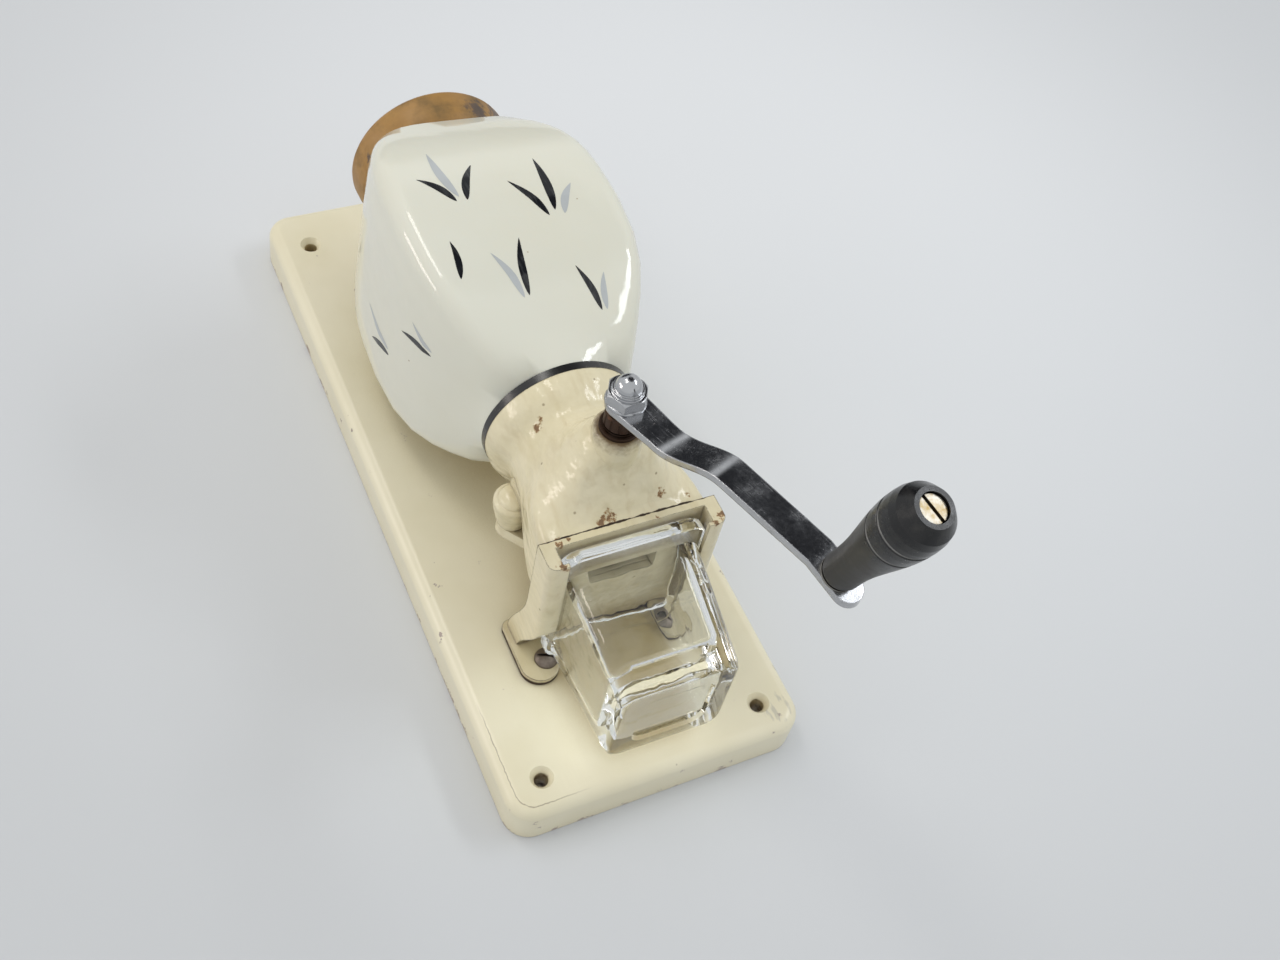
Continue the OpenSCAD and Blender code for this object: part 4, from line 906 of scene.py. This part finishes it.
def lay_sweep(context):
    """The paper that the mill lies on, with an opening under the board so that lamps reach its back."""
    mesh = bmesh.new()
    round_off = BOARD_CORNER - SWEEP_INSET
    outer, inner = [], []
    for quarter in (0, 90, 180, 270):
        to_corner = math.radians(quarter + 45)
        corner_x = math.copysign(BOARD_HALF_WIDTH - BOARD_CORNER, math.cos(to_corner))
        corner_z = math.copysign(BOARD_HIGH - BOARD_MIDDLE - BOARD_CORNER, math.sin(to_corner))
        for step in range(SWEEP_STEPS + 1):
            turn = math.radians(quarter + step * 90 / SWEEP_STEPS)
            x = corner_x + round_off * math.cos(turn)
            z = corner_z + round_off * math.sin(turn)
            far = SWEEP_REACH / math.hypot(x, z)
            inner.append(mesh.verts.new(Vector((x, SWEEP_GAP, BOARD_MIDDLE + z)) * MM))
            outer.append(mesh.verts.new(Vector((x * far, SWEEP_GAP, z * far)) * MM))
    for i in range(len(outer)):
        after = (i + 1) % len(outer)
        mesh.faces.new((outer[i], outer[after], inner[after], inner[i]))
    data = bpy.data.meshes.new("sweep")
    mesh.to_mesh(data)
    mesh.free()
    paper = bpy.data.objects.new("sweep", data)
    context.scene.collection.objects.link(paper)
    data.materials.append(sweep_paper(context))


def set_world(context):
    """Pale tent: the camera sees its paper, metal sees its two dark openings, glass sees them faintly."""
    world = bpy.data.worlds.new("Studio")
    context.scene.world = world
    world.use_nodes = True
    tree = world.node_tree
    tree.nodes.clear()
    way = add(tree, "TexCoord").outputs["Generated"]
    holes = []
    for middle in OPENINGS:
        facing = add(tree, "VectorMath", {0: way, 1: tuple(middle.normalized())}, operation="DOT_PRODUCT")
        holes.append(add(tree, "MapRange", {
            "Value": facing, "From Min": 0.88, "From Max": 0.965}, interpolation_type="SMOOTHSTEP"))
    opening = add(tree, "Math", {0: holes[0], 1: holes[1]}, operation="MAXIMUM")
    faint = add(tree, "Math", {0: opening, 1: 0.1}, operation="MULTIPLY")
    # Light that has bounced about in the glass sees no opening, or its thick edges would be black
    ray = add(tree, "LightPath").outputs
    first = add(tree, "Math", {0: ray["Ray Depth"], 1: 2.5}, operation="LESS_THAN")
    sharp = add(tree, "Math", {0: opening, 1: first}, operation="MULTIPLY")
    seen = add(tree, "Background", {"Color": srgb("F1F3F6"), "Strength": 0.86})
    for kind, share in (("Is Glossy Ray", sharp), ("Is Transmission Ray", faint)):
        tent = add(tree, "Mix", {"Factor": share, "A": srgb("DDDFE0"), "B": srgb("303134")}, data_type="RGBA")
        backdrop = add(tree, "Background", {"Color": tent, "Strength": 1.0})
        seen = add(tree, "MixShader", {0: ray[kind], 1: seen, 2: backdrop})
    pale = add(tree, "Background", {"Color": srgb("DADCDD"), "Strength": 1.0})
    add(tree, "OutputWorld", {0: add(tree, "MixShader", {0: ray["Is Camera Ray"], 1: seen, 2: pale})})


def hang_lamp(context, name, place, width, height, watts, colour):
    """One softbox that faces the mill."""
    light = bpy.data.lights.new(name, "AREA")
    light.shape = "RECTANGLE"
    light.size = width * MM
    light.size_y = height * MM
    light.energy = watts
    light.color = srgb(colour)[:3]
    lamp = bpy.data.objects.new(name, light)
    context.scene.collection.objects.link(lamp)
    lamp.location = Vector(place) * MM
    lamp.rotation_mode = "QUATERNION"
    lamp.rotation_quaternion = (LAMP_AIM - lamp.location).to_track_quat("-Z", "Y")


def set_camera(context):
    """The photograph's camera."""
    data = bpy.data.cameras.new("camera")
    data.sensor_fit = "HORIZONTAL"
    data.sensor_width = 36.0
    data.lens = CAMERA_LENS
    data.clip_start = 0.01
    data.clip_end = 50.0
    camera = bpy.data.objects.new("camera", data)
    context.scene.collection.objects.link(camera)
    place, target = Vector(CAMERA_PLACE) * MM, Vector(CAMERA_TARGET) * MM
    aim = (target - place).to_track_quat("-Z", "Y").to_matrix()
    roll = Matrix.Rotation(math.radians(CAMERA_ROLL), 3, "Z")
    camera.matrix_world = Matrix.Translation(place) @ (aim @ roll).to_4x4()
    context.scene.camera = camera


OPERATORS = (
    MILL_OT_finish_board, MILL_OT_finish_casting, MILL_OT_finish_carrier, MILL_OT_finish_hopper,
    MILL_OT_finish_lid, MILL_OT_finish_crank, MILL_OT_finish_grip, MILL_OT_finish_works,
    MILL_OT_finish_cup, MILL_OT_stage,
)


class MILL_PT_finish(bpy.types.Panel):
    """Lists the mill's colours, its wear and the pieces that can be finished"""
    bl_idname = "MILL_PT_finish"
    bl_label = "Wall mill"
    bl_space_type = "VIEW_3D"
    bl_region_type = "UI"
    bl_category = "Wall mill"

    def draw(self, context):
        for group in (colours(context), wear(context)):
            for name in group.bl_rna.properties.keys():
                if name not in ("rna_type", "name"):
                    self.layout.prop(group, name)
        for operator in OPERATORS:
            self.layout.operator(operator.bl_idname)


CLASSES = (MillColours, MillWear, *OPERATORS, MILL_PT_finish)


def register():
    for made in CLASSES:
        bpy.utils.register_class(made)
    bpy.types.Scene.mill_colours = bpy.props.PointerProperty(type=MillColours)
    bpy.types.Scene.mill_wear = bpy.props.PointerProperty(type=MillWear)


def unregister():
    del bpy.types.Scene.mill_wear
    del bpy.types.Scene.mill_colours
    for made in reversed(CLASSES):
        bpy.utils.unregister_class(made)


def main():
    register()
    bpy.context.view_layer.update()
    for operator in OPERATORS:
        group, name = operator.bl_idname.split(".")
        getattr(getattr(bpy.ops, group), name)()


if __name__ == "__main__":
    main()
